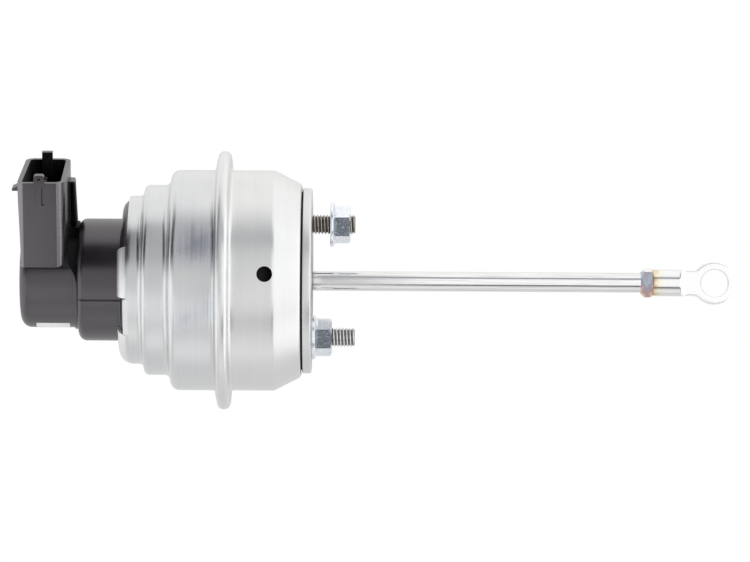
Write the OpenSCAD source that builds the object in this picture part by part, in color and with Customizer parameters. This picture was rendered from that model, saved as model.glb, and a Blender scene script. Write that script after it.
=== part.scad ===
// Vacuum actuator of a turbocharger, with a position sensor on its back.
// The origin is the middle of the mounting plate's front face. +X runs along the push rod to its eye,
// and +Z is up. Everything behind the plate has a negative X.

/* [Mounting] */
// Diameter of the mounting plate
plate_d = 56.5; // [54:0.1:58]
// Thickness of the mounting plate
plate_t = 3.2; // [3:0.1:5]
// Thread diameter of the mounting studs
stud_d = 6; // [5:0.5:8]
// How far a stud stands out of the plate
stud_reach = 13.1; // [12:0.1:25]
// Distance between the two studs
stud_pitch = 34.4; // [32:0.1:40]
// Width across flats of a stud's nut
nut_af = 10; // [9:0.1:11]
// Height of a stud's nut
nut_h = 6.1; // [5:0.1:7]
// Diameter of a nut's washer flange
nut_flange_d = 13.6; // [13:0.1:15]
// Thickness of a nut's washer flange at its edge
nut_flange_t = 1.5; // [1:0.1:2]
// Bare thread under the upper nut, which is run out towards the stud's tip
upper_nut_gap = 5.5; // [0:0.1:7]
// Turn of the upper nut on its thread, in degrees
upper_nut_turn = 21.5; // [0:0.5:60]
// Turn of the lower nut on its thread, in degrees
lower_nut_turn = 16; // [0:0.5:60]

/* [Canister] */
// Sheet thickness of both shells
sheet_t = 1; // [0.8:0.1:1.4]
// Outer diameter of the front shell
front_d = 67.1; // [66:0.1:68]
// Length of the front shell up to the crimped flange
front_len = 21.5; // [19:0.1:24]
// Diameter at which the front cone would meet the front wall
nose_d = 58.8; // [57.5:0.1:60]
// Slope of the front cone, in degrees from the rod's axis
cone_angle = 27; // [24:1:32]
// Height of the crimped flange above the front shell
crimp_h = 5.8; // [5.4:0.1:7]
// Width of the crimped flange at its edge
crimp_w = 3.5; // [3.4:0.1:4.5]
// Slope of the folded lip behind the crimped flange, in degrees
lip_angle = 12.5; // [8:0.1:20]
// Radial length of the folded lip
lip_len = 4.15; // [3.4:0.05:4.6]
// Outer diameter of the rear shell
rear_d = 67.1; // [66:0.1:68]
// Length of the rear shell from the flange's front face to its first step
rear_len = 18.5; // [18:0.1:24]
// Diameter of the rear shell's second step
step_d = 57.9; // [56:0.1:60]
// Length of the second step
step_len = 7.7; // [6:0.1:10]
// Slope of the wall between the rear shell and its second step, in degrees
step_slope = 10; // [0:1:15]
// Outer diameter of the neck that holds the sensor
neck_d = 51.2; // [49:0.1:53]
// Length of the neck up to the notches in its rim
neck_len = 4.5; // [3.5:0.1:6]
// Length of the tabs beyond the notches
tab_len = 3; // [2.8:0.1:4]
// Diameter inside the folded tabs
tab_inner_d = 41.2; // [40.5:0.1:43]
// Bend radius of the folded tabs, outside
tab_round = 4.2; // [2:0.1:4.4]
// Width of each of the two side tabs, in degrees
side_tab = 36; // [30:0.1:45]
// Width of the tab opposite the connector, in degrees
far_tab = 129.4; // [110:0.1:135]
// Width of the notch on each side of the far tab, in degrees
notch = 28.8; // [20:0.1:35]
// Diameter of the vent hole in the front shell
vent_d = 4.7; // [3:0.1:5]
// Distance of the vent hole behind the plate's front face
vent_x = 13.8; // [13:0.1:18]
// Height of the vent hole above the rod's axis
vent_z = 1.9; // [-4:0.1:4]

/* [Vacuum nipple] */
// Outer diameter of the hose nipple
nipple_d = 5; // [4:0.1:7]
// Bore of the hose nipple
nipple_bore = 3; // [2:0.1:3.4]
// Length of the nipple outside the shell
nipple_len = 14; // [11:0.5:20]
// Distance of the nipple from the rear shell's first step
nipple_inset = 7.2; // [6:0.1:9]

/* [Rod and guide] */
// Diameter of the push rod
rod_d = 6; // [5:0.1:7]
// Distance from the plate's front face to the middle of the eye
eye_x = 122.7; // [105:0.1:150]
// Outer diameter of the eye
eye_d = 13.1; // [12:0.1:16]
// Diameter of the hole in the eye
eye_hole_d = 8.3; // [6:0.1:9]
// Thickness of the flattened eye
eye_t = 3.6; // [3:0.1:5]
// Width of the flat between the eye and the shank
eye_neck_w = 7.8; // [6:0.1:9]
// Diameter of the rod end's shank
shank_d = 8.1; // [7.6:0.1:9]
// Length of the rod end's round shank
shank_len = 8.5; // [7:0.1:12]
// Distance from the shank's front end to the middle of the eye
eye_neck_len = 10.5; // [9.5:0.1:14]
// Width across flats of the rod's lock nut
lock_nut_af = 8; // [7.6:0.1:10]
// Thickness of the rod's lock nut
lock_nut_t = 3.5; // [2:0.1:5]
// Turn of the lock nut on the rod, in degrees
lock_nut_turn = 44; // [0:1:60]
// Travel of the rod when vacuum is applied
stroke = 12; // [6:0.5:12]
// Tilt of the rod that the ball bush allows each way, in degrees
swivel = 2; // [1:0.5:2]
// Diameter of the ball bush
ball_d = 11.2; // [10.6:0.1:11.6]
// Length of the ball bush
ball_len = 6.8; // [5:0.1:7]
// Diameter of the guide housing
guide_d = 16; // [15:0.1:18]
// Diameter of the guide housing's flange
guide_flange_d = 21; // [19:0.1:24]

/* [Piston and diaphragm] */
// Diameter of the piston cup
piston_d = 54; // [50:0.1:54]
// Sheet thickness of the piston cup
piston_t = 1.2; // [1:0.1:1.6]
// Thickness of the diaphragm
diaphragm_t = 0.8; // [0.6:0.1:0.8]
// How far the diaphragm's fold reaches behind the crimped flange's front face
fold_reach = 9.2; // [8:0.1:12]
// Diameter of the plate that clamps the diaphragm to the piston
retainer_d = 46; // [40:0.5:47]
// Thickness of the clamping plate
retainer_t = 1; // [0.8:0.1:1.5]
// Diameter of the rod's riveted spigot
spigot_d = 4; // [3:0.1:4.5]
// Wire diameter of the return spring
spring_wire = 2.8; // [2:0.1:3]
// Number of turns of the return spring
spring_turns = 5; // [5:0.5:6]

/* [Position sensor] */
// Turn of the connector towards the front, in degrees
connector_turn = 16.5; // [0:0.5:20]
// Diameter of the sensor's barrel
barrel_d = 37.2; // [36:0.1:38]
// Corner radius of the barrel's rear end
barrel_round = 3.2; // [1:0.1:3.2]
// Length of the barrel behind the tabs
barrel_len = 13.4; // [12:0.1:18]
// Diameter of the sensor's rear cap
cap_d = 29.2; // [28:0.1:31]
// Length of the rear cap
cap_len = 17.8; // [17.6:0.1:22]
// Wall thickness of the sensor's mouldings
wall_t = 2.5; // [2:0.1:2.8]
// Diameter of the sensor plunger's carriage
carriage_d = 10; // [9:0.1:10.4]
// Diameter of the plunger's shaft
plunger_d = 5; // [4:0.1:6]

/* [Connector] */
// Size of the socket along the rod's axis, outside
socket_w = 14.2; // [13:0.1:15]
// Size of the socket across, outside
socket_l = 28; // [26:0.1:29]
// Distance of the socket from the cap's rear face
socket_inset = 0.4; // [0:0.1:2]
// Height of the socket's rim above the rod's axis
socket_h = 34.1; // [30:0.1:38]
// Thickness of the socket's walls
socket_t = 1.4; // [1.2:0.1:1.8]
// Corner radius of the socket's rear edges
socket_rear_round = 2; // [2:0.1:3]
// Corner radius of the socket's front edges
socket_front_round = 2.6; // [2:0.1:3]
// Depth of the socket
socket_depth = 18.1; // [14:0.1:18.5]
// How far the socket's two keys stand above its rim
key_h = 2.6; // [1:0.1:4]
// Width of the rib between the socket and the barrel
rib_w = 5; // [3:0.5:8]
// Distance of the rib behind the socket's middle
rib_y = 5; // [4:0.1:6]
// Number of terminals
pins = 5; // [3:1:6]
// Spacing of the terminals
pin_pitch = 3.4; // [2.6:0.1:3.4]

/* [Fits] */
// Radial clearance of a piece that slides or swivels in another
running = 0.05; // [0.03:0.01:0.08]
// Radial clearance of a piece that is set in another and stays there
seating = 0.05; // [0.02:0.01:0.1]
// Gap between pieces that move past each other without touching
moving_gap = 0.6; // [0.5:0.1:1]

/* [Hidden] */
$fn = 64;
arc_steps = 6;
full_turn = 360;

// Radii of the turned and pressed pieces
front_r = front_d / 2;
rear_r = rear_d / 2;
crimp_r = front_r + crimp_h;
nose_r = nose_d / 2;
step_r = step_d / 2;
neck_r = neck_d / 2;
neck_bore_r = neck_r - sheet_t;
rod_r = rod_d / 2;
stud_r = stud_d / 2;
guide_r = guide_d / 2;
guide_bore_r = guide_r + seating;
piston_r = piston_d / 2;
spigot_r = spigot_d / 2;
barrel_r = barrel_d / 2;
cap_r = cap_d / 2;
carriage_r = carriage_d / 2;

// Stations along the rod's axis, from the plate's front face backwards
shell_x = -plate_t;
inner_wall_x = shell_x - sheet_t;
cone_x = shell_x - (front_r - nose_r) / tan(cone_angle);
crimp_x = shell_x - front_len;
body_end_x = crimp_x - rear_len;
step_end_x = body_end_x - step_len;
rim_x = step_end_x - neck_len;
fold_x = rim_x - tab_len;
seat_x = step_end_x + sheet_t;
flange_rear_x = fold_x + sheet_t;
barrel_end_x = flange_rear_x - barrel_len;
cap_end_x = barrel_end_x - cap_len;

// The rear shell's flange lies under the folded lip and shares its slope
lip_rise = tan(lip_angle);
lip_shift = sheet_t / cos(lip_angle);
function flange_back_x(r) = crimp_x - crimp_w + lip_shift + seating - lip_rise * (crimp_r - r);
function flange_front_x(r) = flange_back_x(r) + lip_shift;

// The ball bush swivels in the guide housing, which stands in the plate's and the shell's holes
guide_flange_t = 1.2;
guide_front_x = -2.2;
ball_end_r = sqrt(pow(ball_d / 2, 2) - pow(ball_len / 2, 2));
ball_gap = ball_end_r * sin(swivel) + 3 * running;
ball_x = guide_front_x - ball_gap - ball_len / 2;
guide_back_x = ball_x - ball_len / 2 - ball_gap;
seal_recess = 0.3;
seal_gap = (-seal_recess - ball_x) * tan(swivel) + 2 * running;

// The stack that is riveted to the rod's spigot, from front to back
retainer_x = guide_back_x - moving_gap;
crown_x = retainer_x - retainer_t;
piston_x = crown_x - diaphragm_t;
piston_len = stroke + 3;
washer_x = piston_x - piston_t;
washer_t = 1.2;
washer_r = 8;
rivet_x = washer_x - washer_t;
rivet_t = 1.5;
rivet_r = 3.6;

// The diaphragm rolls between the piston and the rear shell's wall
skin_r = piston_r + seating + diaphragm_t;
roll_r = rear_r - sheet_t - 2 * seating - diaphragm_t;
roll_x = crimp_x - sheet_t;
bead_r = crimp_r - sheet_t - 2 * seating;

// The return spring stands on the spring seat, between its collar and its rim
seat_t = 1;
seat_r = step_r - sheet_t - seating;
seat_rim = 3;
spring_r = piston_r - piston_t - spring_wire / 2 - 0.5;
collar_r = spring_r - spring_wire / 2 - 0.3;
spring_back_x = seat_x + seat_t;

// The sensor's plunger follows the rivet through the return spring
plunger_x = rivet_x - rivet_t - running;
plunger_r = plunger_d / 2;
tube_r = carriage_r + running;
tube_t = 2;
tube_x = seat_x - 3;
carriage_x = tube_x + 1;
carriage_len = stroke + 2;
carriage_end_x = carriage_x - carriage_len;
magnet_r = carriage_r - 1.6;
magnet_t = 5;
cap_cavity_r = cap_r - wall_t;
cap_floor_x = cap_end_x + wall_t;
plunger_spring_wire = 0.6;
plunger_spring_turns = 9;
plunger_spring_r = (magnet_r + carriage_r) / 2;
seal_w = 2.4;
seal_depth = 1.8;
groove_x = (seat_x + rim_x) / 2;

// The connector's socket, the circuit board under it and the blades between them
socket_x = cap_end_x + socket_inset;
socket_mid_x = socket_x + socket_w / 2;
socket_floor_z = socket_h - socket_depth;
socket_foot_z = 7.8;
board_t = 1.6;
board_drop = 3;
board_z = cap_cavity_r - board_drop - board_t;
board_play = 0.15;
board_gap = 2.5;
blade_w = 2;
blade_t = 0.6;
blade_top_z = socket_h - 4;

// Outlines are lists of corners [r, x, corner radius], where r is the distance from the rod's axis

function point(corner) = [corner[0], corner[1]];
function radius(corner) = len(corner) > 2 ? corner[2] : 0;
function reversed(list) = [for (i = [len(list) - 1 : -1 : 0]) list[i]];

// Half the angle of a corner that is too flat to round, in degrees
straight = 89;

// Points of the arc that rounds the corner p between its neighbours a and b
function corner_arc(a, p, b, r) =
    let (
        u = (a - p) / norm(a - p),
        v = (b - p) / norm(b - p),
        half = acos(u * v) / 2
    )
    r <= 0 || half > straight ? [p] :
    let (
        centre = p + (u + v) / norm(u + v) * r / sin(half),
        start = p + u * r / tan(half) - centre,
        stop = p + v * r / tan(half) - centre,
        turn = atan2(cross(start, stop), start * stop),
        first = atan2(start.y, start.x)
    )
    [for (k = [0 : arc_steps])
        let (angle = first + turn * k / arc_steps)
        centre + r * [cos(angle), sin(angle)]];

// Points of a closed outline with its corners rounded
function rounded(corners) =
    let (n = len(corners))
    [for (i = [0 : n - 1])
        let (before = point(corners[(i + n - 1) % n]), after = point(corners[(i + 1) % n]))
        each corner_arc(before, point(corners[i]), after, radius(corners[i]))];

// Unit normal on the right of the way from a to b
function right_of(a, b) = let (d = (b - a) / norm(b - a)) [d.y, -d.x];

// The line that runs at a distance t on the right of a path, with its corner radii made to match
function parallel(path, t) =
    [for (i = [0 : len(path) - 1])
        let (
            p = point(path[i]),
            before = i > 0 ? right_of(point(path[i - 1]), p) : right_of(p, point(path[i + 1])),
            after = i < len(path) - 1 ? right_of(p, point(path[i + 1])) : before,
            side = p + t * (before + after) / (1 + before * after),
            r = radius(path[i])
        )
        [side.x, side.y, r > 0 ? max(0, r + t * sign(cross(before, after))) : 0]];

// A solid of revolution about the rod's axis
module turned(corners) {
    rotate([0, 90, 0]) rotate_extrude($fn = 128) polygon(rounded(corners));
}

// A pressed sheet of thickness t, drawn from its outer surface
module pressed(path, t) {
    turned(concat(path, reversed(parallel(path, t))));
}

// A sector of revolution centred on the connector's side, with at = 0 pointing to the connector
module sector(corners, at, width) {
    rotate([0, 90, 0])
        rotate_extrude(angle = width, start = 180 + at - width / 2, $fn = 128) polygon(rounded(corners));
}

module along_x(x) {
    translate([x, 0, 0]) rotate([0, 90, 0]) children();
}

// A round bar along the rod's axis, from x to x + length
module bar_x(r, x, length) {
    along_x(x) cylinder(r = r, h = length);
}

// A helical spring between two seats, with one closed turn at each end
module coil(mean_r, wire_d, x, length, turns, steps, sides) {
    wire_r = wire_d / 2;
    dead = wire_d * 1.03;
    live = (length - wire_d - 2 * dead) / (turns - 2);
    rings = round(turns * steps);
    function lift(u) =
        u < 1 ? dead * u :
        u > turns - 1 ? length - wire_d - dead * (turns - u) : dead + live * (u - 1);
    function wire_point(i, j) =
        let (u = turns * i / rings, a = 360 * u, b = 360 * j / sides, r = mean_r + wire_r * cos(b))
        [x + wire_r + lift(u) + wire_r * sin(b), r * cos(a), r * sin(a)];
    polyhedron(
        points = [for (i = [0 : rings]) for (j = [0 : sides - 1]) wire_point(i, j)],
        faces = concat(
            [[for (j = [0 : sides - 1]) j]],
            [for (i = [0 : rings - 1]) for (j = [0 : sides - 1])
                let (k = (j + 1) % sides)
                [i * sides + j, (i + 1) * sides + j, (i + 1) * sides + k, i * sides + k]],
            [[for (j = [sides - 1 : -1 : 0]) rings * sides + j]]),
        convexity = 10);
}

// Front shell with its guide hole, its vent and the rim that is folded round the rear shell's flange
module front_shell() {
    skin = [
        [guide_bore_r, shell_x],
        [nose_r, shell_x, 3],
        [front_r, cone_x, 4],
        [front_r, crimp_x, 1.2],
        [crimp_r, crimp_x, sheet_t],
        [crimp_r, crimp_x - crimp_w, sheet_t],
        [crimp_r - lip_len, crimp_x - crimp_w - lip_rise * lip_len],
    ];
    color("lightgray") difference() {
        pressed(skin, sheet_t);
        translate([-vent_x, 0, vent_z]) rotate([90, 0, 0]) cylinder(d = vent_d, h = crimp_r);
    }
}

// Rear shell with its steps, and the neck whose rim is folded over the sensor in three tabs
module rear_shell() {
    flange_r = crimp_r - sheet_t - seating;
    skin = [
        [flange_r, flange_back_x(flange_r)],
        [rear_r, flange_back_x(rear_r), 0.8],
        [rear_r, body_end_x + (rear_r - step_r) * tan(step_slope), 2.6],
        [step_r, body_end_x, 0.8],
        [step_r, step_end_x, 1.6],
        [neck_r, step_end_x, 0.9],
        [neck_r, fold_x, tab_round],
        [tab_inner_d / 2, fold_x],
    ];
    gap = [
        [tab_inner_d / 2 - 1, fold_x - 1],
        [neck_r + 1, fold_x - 1],
        [neck_r + 1, rim_x],
        [tab_inner_d / 2 - 1, rim_x],
    ];
    near_gap = full_turn - far_tab - 2 * side_tab - 2 * notch;
    notch_at = near_gap / 2 + side_tab + notch / 2;
    color("silver") difference() {
        pressed(skin, sheet_t);
        rotate([connector_turn, 0, 0]) {
            sector(gap, 0, near_gap);
            sector(gap, notch_at, notch);
            sector(gap, -notch_at, notch);
        }
        nipple_place() cylinder(d = nipple_d, h = rear_r);
    }
}

// Round plate welded to the front shell, drilled for the studs and the rod's guide, grooved behind its edge
module mounting_plate() {
    disc = [
        [guide_bore_r, 0],
        [plate_d / 2, 0, 0.7],
        [plate_d / 2, shell_x + groove_w, 0.4],
        [plate_d / 2 - groove_d, shell_x + groove_w],
        [plate_d / 2 - groove_d, shell_x],
        [guide_bore_r, shell_x],
    ];
    color("darkgray") difference() {
        turned(disc);
        for (side = [-1, 1])
            translate([0, 0, side * stud_pitch / 2]) {
                bar_x(stud_r, shell_x - 1, plate_t + 2);
                bar_x(stud_head_r, shell_x - 1, stud_head_t + 1);
            }
    }
}

groove_w = 0.4;
groove_d = 1.1;
stud_head_r = stud_r + 1.5;
stud_head_t = 1.2;
stud_point = 0.6;

// Press-in stud with its head behind the plate
module stud(side) {
    shaft = [
        [0, shell_x],
        [stud_head_r, shell_x],
        [stud_head_r, shell_x + stud_head_t],
        [stud_r, shell_x + stud_head_t],
        [stud_r, stud_reach - stud_point],
        [stud_r - stud_point, stud_reach],
        [0, stud_reach],
    ];
    translate([0, 0, side * stud_pitch / 2]) turned(shaft);
}

module upper_stud() {
    color("dimgray") stud(1);
}

module lower_stud() {
    color("gray") stud(-1);
}

function corner_radius(af) = af / 2 / cos(30);

// A hexagon bar along the rod's axis, turned from the place where a flat faces the viewer
module hexagon(af, x, length, turn) {
    along_x(x) rotate([0, 0, turn]) cylinder(r = corner_radius(af), h = length, $fn = 6);
}

// Hexagon nut with a washer flange, seated at x on the stud above or below the rod
module flange_nut(side, x, turn) {
    corner_r = corner_radius(nut_af);
    flange = [
        [0, x],
        [nut_flange_d / 2, x, 0.3],
        [nut_flange_d / 2, x + nut_flange_t * 0.6],
        [nut_af / 2, x + nut_flange_t * 1.3],
        [0, x + nut_flange_t * 1.3],
    ];
    crown = [
        [0, x],
        [corner_r + 1, x],
        [corner_r + 1, x + nut_h - (corner_r + 1 - nut_af / 2) * tan(30)],
        [nut_af / 2, x + nut_h],
        [0, x + nut_h],
    ];
    translate([0, 0, side * stud_pitch / 2]) difference() {
        union() {
            turned(flange);
            intersection() {
                hexagon(nut_af, x, nut_h, turn);
                turned(crown);
            }
        }
        bar_x(stud_r, x - 1, nut_h + 2);
    }
}

module upper_nut() {
    color("slategray") flange_nut(1, upper_nut_gap, upper_nut_turn);
}

module lower_nut() {
    color("slategray") flange_nut(-1, 0, lower_nut_turn);
}

// Turned housing whose rim is rolled over the ball bush
module guide_housing() {
    body = [
        [0, guide_front_x],
        [guide_r, guide_front_x, 0.4],
        [guide_r, inner_wall_x],
        [guide_flange_d / 2, inner_wall_x],
        [guide_flange_d / 2, inner_wall_x - guide_flange_t, 0.4],
        [guide_r, inner_wall_x - guide_flange_t],
        [guide_r, guide_back_x, 0.4],
        [0, guide_back_x],
    ];
    color("darkkhaki") difference() {
        turned(body);
        translate([ball_x, 0, 0]) sphere(d = ball_d + 2 * running, $fn = 96);
    }
}

// Felt ring that wipes the rod in front of the bush
module dust_seal() {
    ring = [
        [rod_r + seal_gap, -seal_recess],
        [guide_r, -seal_recess, 0.3],
        [guide_r, guide_front_x],
        [rod_r + seal_gap, guide_front_x],
    ];
    color("saddlebrown") turned(ring);
}

// Ball bush in which the rod slides, and which lets the rod tilt
module guide_bush() {
    color("peru") difference() {
        intersection() {
            translate([ball_x, 0, 0]) sphere(d = ball_d, $fn = 96);
            bar_x(ball_d, ball_x - ball_len / 2, ball_len);
        }
        bar_x(rod_r + running, ball_x - ball_len, 2 * ball_len);
    }
}

// Pressed seat, welded into the rear shell's step, that carries the return spring and backs the sensor
module spring_seat() {
    path = [
        [seat_r, seat_x + seat_rim],
        [seat_r, seat_x, 1.6],
        [collar_r - seat_t, seat_x, 1.2],
        [collar_r - seat_t, seat_x + seat_rim + seat_t],
    ];
    color("silver") pressed(path, seat_t);
}

nipple_point = 0.5;

module nipple_place() {
    translate([body_end_x + nipple_inset, 0, 0]) rotate([-90, 0, 0]) children();
}

// Hose nipple brazed into the far side of the rear shell
module vacuum_nipple() {
    r = nipple_d / 2;
    tip = rear_r + nipple_len;
    outline = [
        [nipple_bore / 2, rear_r - sheet_t],
        [r, rear_r - sheet_t],
        [r, tip - nipple_point],
        [r - nipple_point, tip],
        [nipple_bore / 2, tip],
    ];
    foot = [
        [r, rear_r - sheet_t],
        [r + 2, rear_r - sheet_t],
        [r + 2, rear_r + 0.8, 0.6],
        [r + 1, rear_r + 2, 0.6],
        [r, rear_r + 2],
    ];
    color("silver") union() {
        nipple_place() rotate_extrude() polygon(rounded(outline));
        difference() {
            nipple_place() rotate_extrude() polygon(rounded(foot));
            bar_x(rear_r, body_end_x, rear_len);
        }
    }
}

// Push rod with the spigot that is riveted over the piston's stack
module rod() {
    shaft = [
        [0, rivet_x - rivet_t],
        [rivet_r - 0.9, rivet_x - rivet_t, 0.9],
        [rivet_r, rivet_x],
        [spigot_r, rivet_x],
        [spigot_r, retainer_x],
        [rod_r, retainer_x, 0.3],
        [rod_r, rod_end_x + shank_len - 2, 0.3],
        [0, rod_end_x + shank_len - 2],
    ];
    color("gainsboro") turned(shaft);
}

rod_end_x = eye_x - eye_neck_len - shank_len;

// Thin hexagon nut that locks the rod end, heat tinted where it is welded
module lock_nut() {
    corner_r = corner_radius(lock_nut_af);
    chamfer = 0.5;
    body = [
        [rod_r, rod_end_x - lock_nut_t],
        [corner_r - chamfer, rod_end_x - lock_nut_t],
        [corner_r, rod_end_x - lock_nut_t + chamfer],
        [corner_r, rod_end_x - chamfer],
        [corner_r - chamfer, rod_end_x],
        [rod_r, rod_end_x],
    ];
    color("indianred") intersection() {
        turned(body);
        hexagon(lock_nut_af, rod_end_x - lock_nut_t, lock_nut_t, lock_nut_turn);
    }
}

// Rod end: a round shank on the rod, pressed flat into an eye
module rod_end() {
    flat_x = rod_end_x + shank_len;
    flare = 4;
    eye_r = eye_d / 2;
    outline = [
        [flat_x - 1, -eye_neck_w / 2],
        [flat_x + flare, -eye_neck_w / 2, 3],
        [eye_x - eye_r * sin(30), -eye_r * cos(30)],
        [eye_x - eye_r * sin(30), eye_r * cos(30)],
        [flat_x + flare, eye_neck_w / 2, 3],
        [flat_x - 1, eye_neck_w / 2],
    ];
    shank = [
        [0, rod_end_x],
        [shank_d / 2, rod_end_x, 0.3],
        [shank_d / 2, flat_x, 0.5],
        [0, flat_x],
    ];
    color("whitesmoke") difference() {
        union() {
            turned(shank);
            translate([0, eye_t / 2, 0]) rotate([90, 0, 0]) linear_extrude(eye_t) polygon(rounded(outline));
            translate([eye_x, eye_t / 2, 0]) rotate([90, 0, 0]) cylinder(d = eye_d, h = eye_t);
        }
        translate([eye_x, eye_t, 0]) rotate([90, 0, 0]) cylinder(d = eye_hole_d, h = 2 * eye_t);
        bar_x(rod_r, rod_end_x - 1, shank_len - 1);
    }
}

// Pressed cup that the diaphragm rolls on
module piston() {
    path = [
        [spigot_r, piston_x],
        [piston_r, piston_x, 3],
        [piston_r, piston_x - piston_len],
    ];
    color("silver") pressed(path, piston_t);
}

// Fabric diaphragm: its crown lies on the piston, its wall rolls and its bead is crimped in
module diaphragm() {
    path = [
        [spigot_r, crown_x],
        [skin_r, crown_x, 3.8],
        [skin_r, crimp_x - fold_reach, (roll_r - skin_r) / 2 - 0.01],
        [roll_r, crimp_x - fold_reach, (roll_r - skin_r) / 2 - 0.01],
        [roll_r, roll_x, 1.4],
        [bead_r - 3, roll_x],
    ];
    bead_in = bead_r - 3.4;
    bead = [
        [bead_in, roll_x],
        [bead_r, roll_x],
        [bead_r, flange_front_x(bead_r) + seating],
        [bead_in, flange_front_x(bead_in) + seating],
    ];
    color("dimgray") union() {
        pressed(path, diaphragm_t);
        turned(bead);
    }
}

// Plate that clamps the diaphragm's crown to the piston
module diaphragm_retainer() {
    curl = 1;
    path = [
        [spigot_r, retainer_x],
        [retainer_d / 2 - curl, retainer_x, 1.5],
        [retainer_d / 2, retainer_x + curl],
    ];
    color("silver") pressed(path, retainer_t);
}

// Washer under the rivet
module stop_washer() {
    ring = [
        [spigot_r, washer_x],
        [washer_r, washer_x, 0.3],
        [washer_r, rivet_x, 0.3],
        [spigot_r, rivet_x],
    ];
    color("gray") turned(ring);
}

module return_spring() {
    color("steelblue")
        coil(spring_r, spring_wire, spring_back_x, washer_x - spring_back_x, spring_turns, 24, 8);
}

// Ring that seals the sensor's flange in the neck
module flange_seal() {
    ring = [
        [neck_bore_r - seal_depth, groove_x - seal_w / 2, 0.7],
        [neck_bore_r, groove_x - seal_w / 2, 0.7],
        [neck_bore_r, groove_x + seal_w / 2, 0.7],
        [neck_bore_r - seal_depth, groove_x + seal_w / 2, 0.7],
    ];
    color("black") turned(ring);
}

// Moulded barrel: flange, outer wall, and the tube that guides the plunger
module sensor_barrel() {
    flange_r = neck_bore_r - seating;
    groove_r = neck_bore_r - seal_depth;
    groove_half = seal_w / 2 + seating;
    ring_out = cap_cavity_r - seating;
    ring_in = ring_out - 1.2;
    ring_h = 1.5;
    outline = [
        [tube_r, barrel_end_x],
        [tube_r, tube_x],
        [tube_r + tube_t, tube_x],
        [tube_r + tube_t, barrel_end_x + wall_t, 1],
        [barrel_r - wall_t, barrel_end_x + wall_t, 1],
        [barrel_r - wall_t, seat_x],
        [flange_r, seat_x, 0.3],
        [flange_r, groove_x + groove_half],
        [groove_r, groove_x + groove_half],
        [groove_r, groove_x - groove_half],
        [flange_r, groove_x - groove_half],
        [flange_r, flange_rear_x, tab_round - sheet_t],
        [barrel_r, flange_rear_x, 0.8],
        [barrel_r, barrel_end_x, barrel_round],
        [ring_out, barrel_end_x],
        [ring_out, barrel_end_x - ring_h],
        [ring_in, barrel_end_x - ring_h],
        [ring_in, barrel_end_x],
    ];
    color([0.16, 0.16, 0.17]) turned(outline);
}

// The socket's outline seen along the rod, and seen from its open end
socket_right_x = socket_x + socket_w;
socket_plan = [
    [socket_x, -socket_l / 2, socket_rear_round],
    [socket_right_x, -socket_l / 2, socket_front_round],
    [socket_right_x, socket_l / 2, socket_front_round],
    [socket_x, socket_l / 2, socket_rear_round],
];
socket_side = [
    [socket_x + 1, socket_foot_z, 0.6],
    [socket_x, socket_h],
    [socket_right_x, socket_h],
    [socket_right_x, socket_foot_z, 2.2],
];
mouth_plan = [
    [socket_x + socket_t, -socket_l / 2 + socket_t, socket_rear_round - socket_t],
    [socket_right_x - socket_t, -socket_l / 2 + socket_t, socket_front_round - socket_t],
    [socket_right_x - socket_t, socket_l / 2 - socket_t, socket_front_round - socket_t],
    [socket_x + socket_t, socket_l / 2 - socket_t, socket_rear_round - socket_t],
];

// A plate standing across the rod's axis, cut to an outline in X and Z
module upright(corners, y, width) {
    translate([0, y + width / 2, 0]) rotate([90, 0, 0]) linear_extrude(width) polygon(rounded(corners));
}

// A box from one corner to the other
module block(from, to) {
    translate(from) cube(to - from);
}

// Latch ramp, coding keys and rib on the outside of the socket, with the web that slopes down from the rib
module socket_details() {
    ramp_w = 9;
    ramp_h = 2.75;
    ramp_top = socket_h - 3.4;
    ramp_foot = socket_h - 5.3;
    ramp = [
        [socket_x + socket_t, ramp_top],
        [socket_x, ramp_top],
        [socket_x - ramp_h, ramp_foot + 0.7, 0.3],
        [socket_x - ramp_h, ramp_foot, 0.3],
        [socket_x + socket_t, ramp_foot],
    ];
    rib_top = socket_h - 3.9;
    shelf_z = cap_r + 1.9;
    rib_foot = cap_r / 2;
    rib = [
        [socket_right_x - socket_t, rib_top],
        [socket_right_x + 1.8, rib_top, 0.4],
        [socket_right_x + 2.4, shelf_z],
        [barrel_end_x, shelf_z, 0.4],
        [barrel_end_x, rib_foot],
        [socket_right_x - socket_t, rib_foot],
    ];
    web = [
        [rib_y - rib_w / 2, shelf_z],
        [-cap_r * sin(web_foot), cap_r * cos(web_foot)],
        [-cap_cavity_r * sin(web_foot), cap_cavity_r * cos(web_foot)],
        [rib_y, rib_foot],
        [rib_y, shelf_z],
    ];
    key_x = socket_mid_x - 0.7;
    key_y = socket_l / 2;
    upright(ramp, 0, ramp_w);
    upright(rib, rib_y, rib_w);
    translate([socket_right_x - socket_t, 0, 0]) rotate([90, 0, 90])
        linear_extrude(barrel_end_x - socket_right_x + socket_t) polygon(web);
    block(
        [key_x - key_w / 2, -key_y - key_t, socket_h - socket_t / 2],
        [key_x + key_w / 2, -key_y + socket_t, socket_h + key_h]);
    block(
        [key_x - stem_w / 2, -key_y - key_t, socket_h - stem_len],
        [key_x + stem_w / 2, -key_y + socket_t, socket_h]);
    block(
        [socket_mid_x - key_w / 2, key_y - 2 * socket_t, socket_floor_z],
        [socket_mid_x + key_w / 2, key_y - socket_t / 2, socket_h + key_h]);
}

// Angle round the cap at which the sloping web meets it, from the socket's direction
web_foot = 61;
key_w = 3.2;
key_t = 0.9;
stem_w = 2;
stem_len = 6.9;

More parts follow.
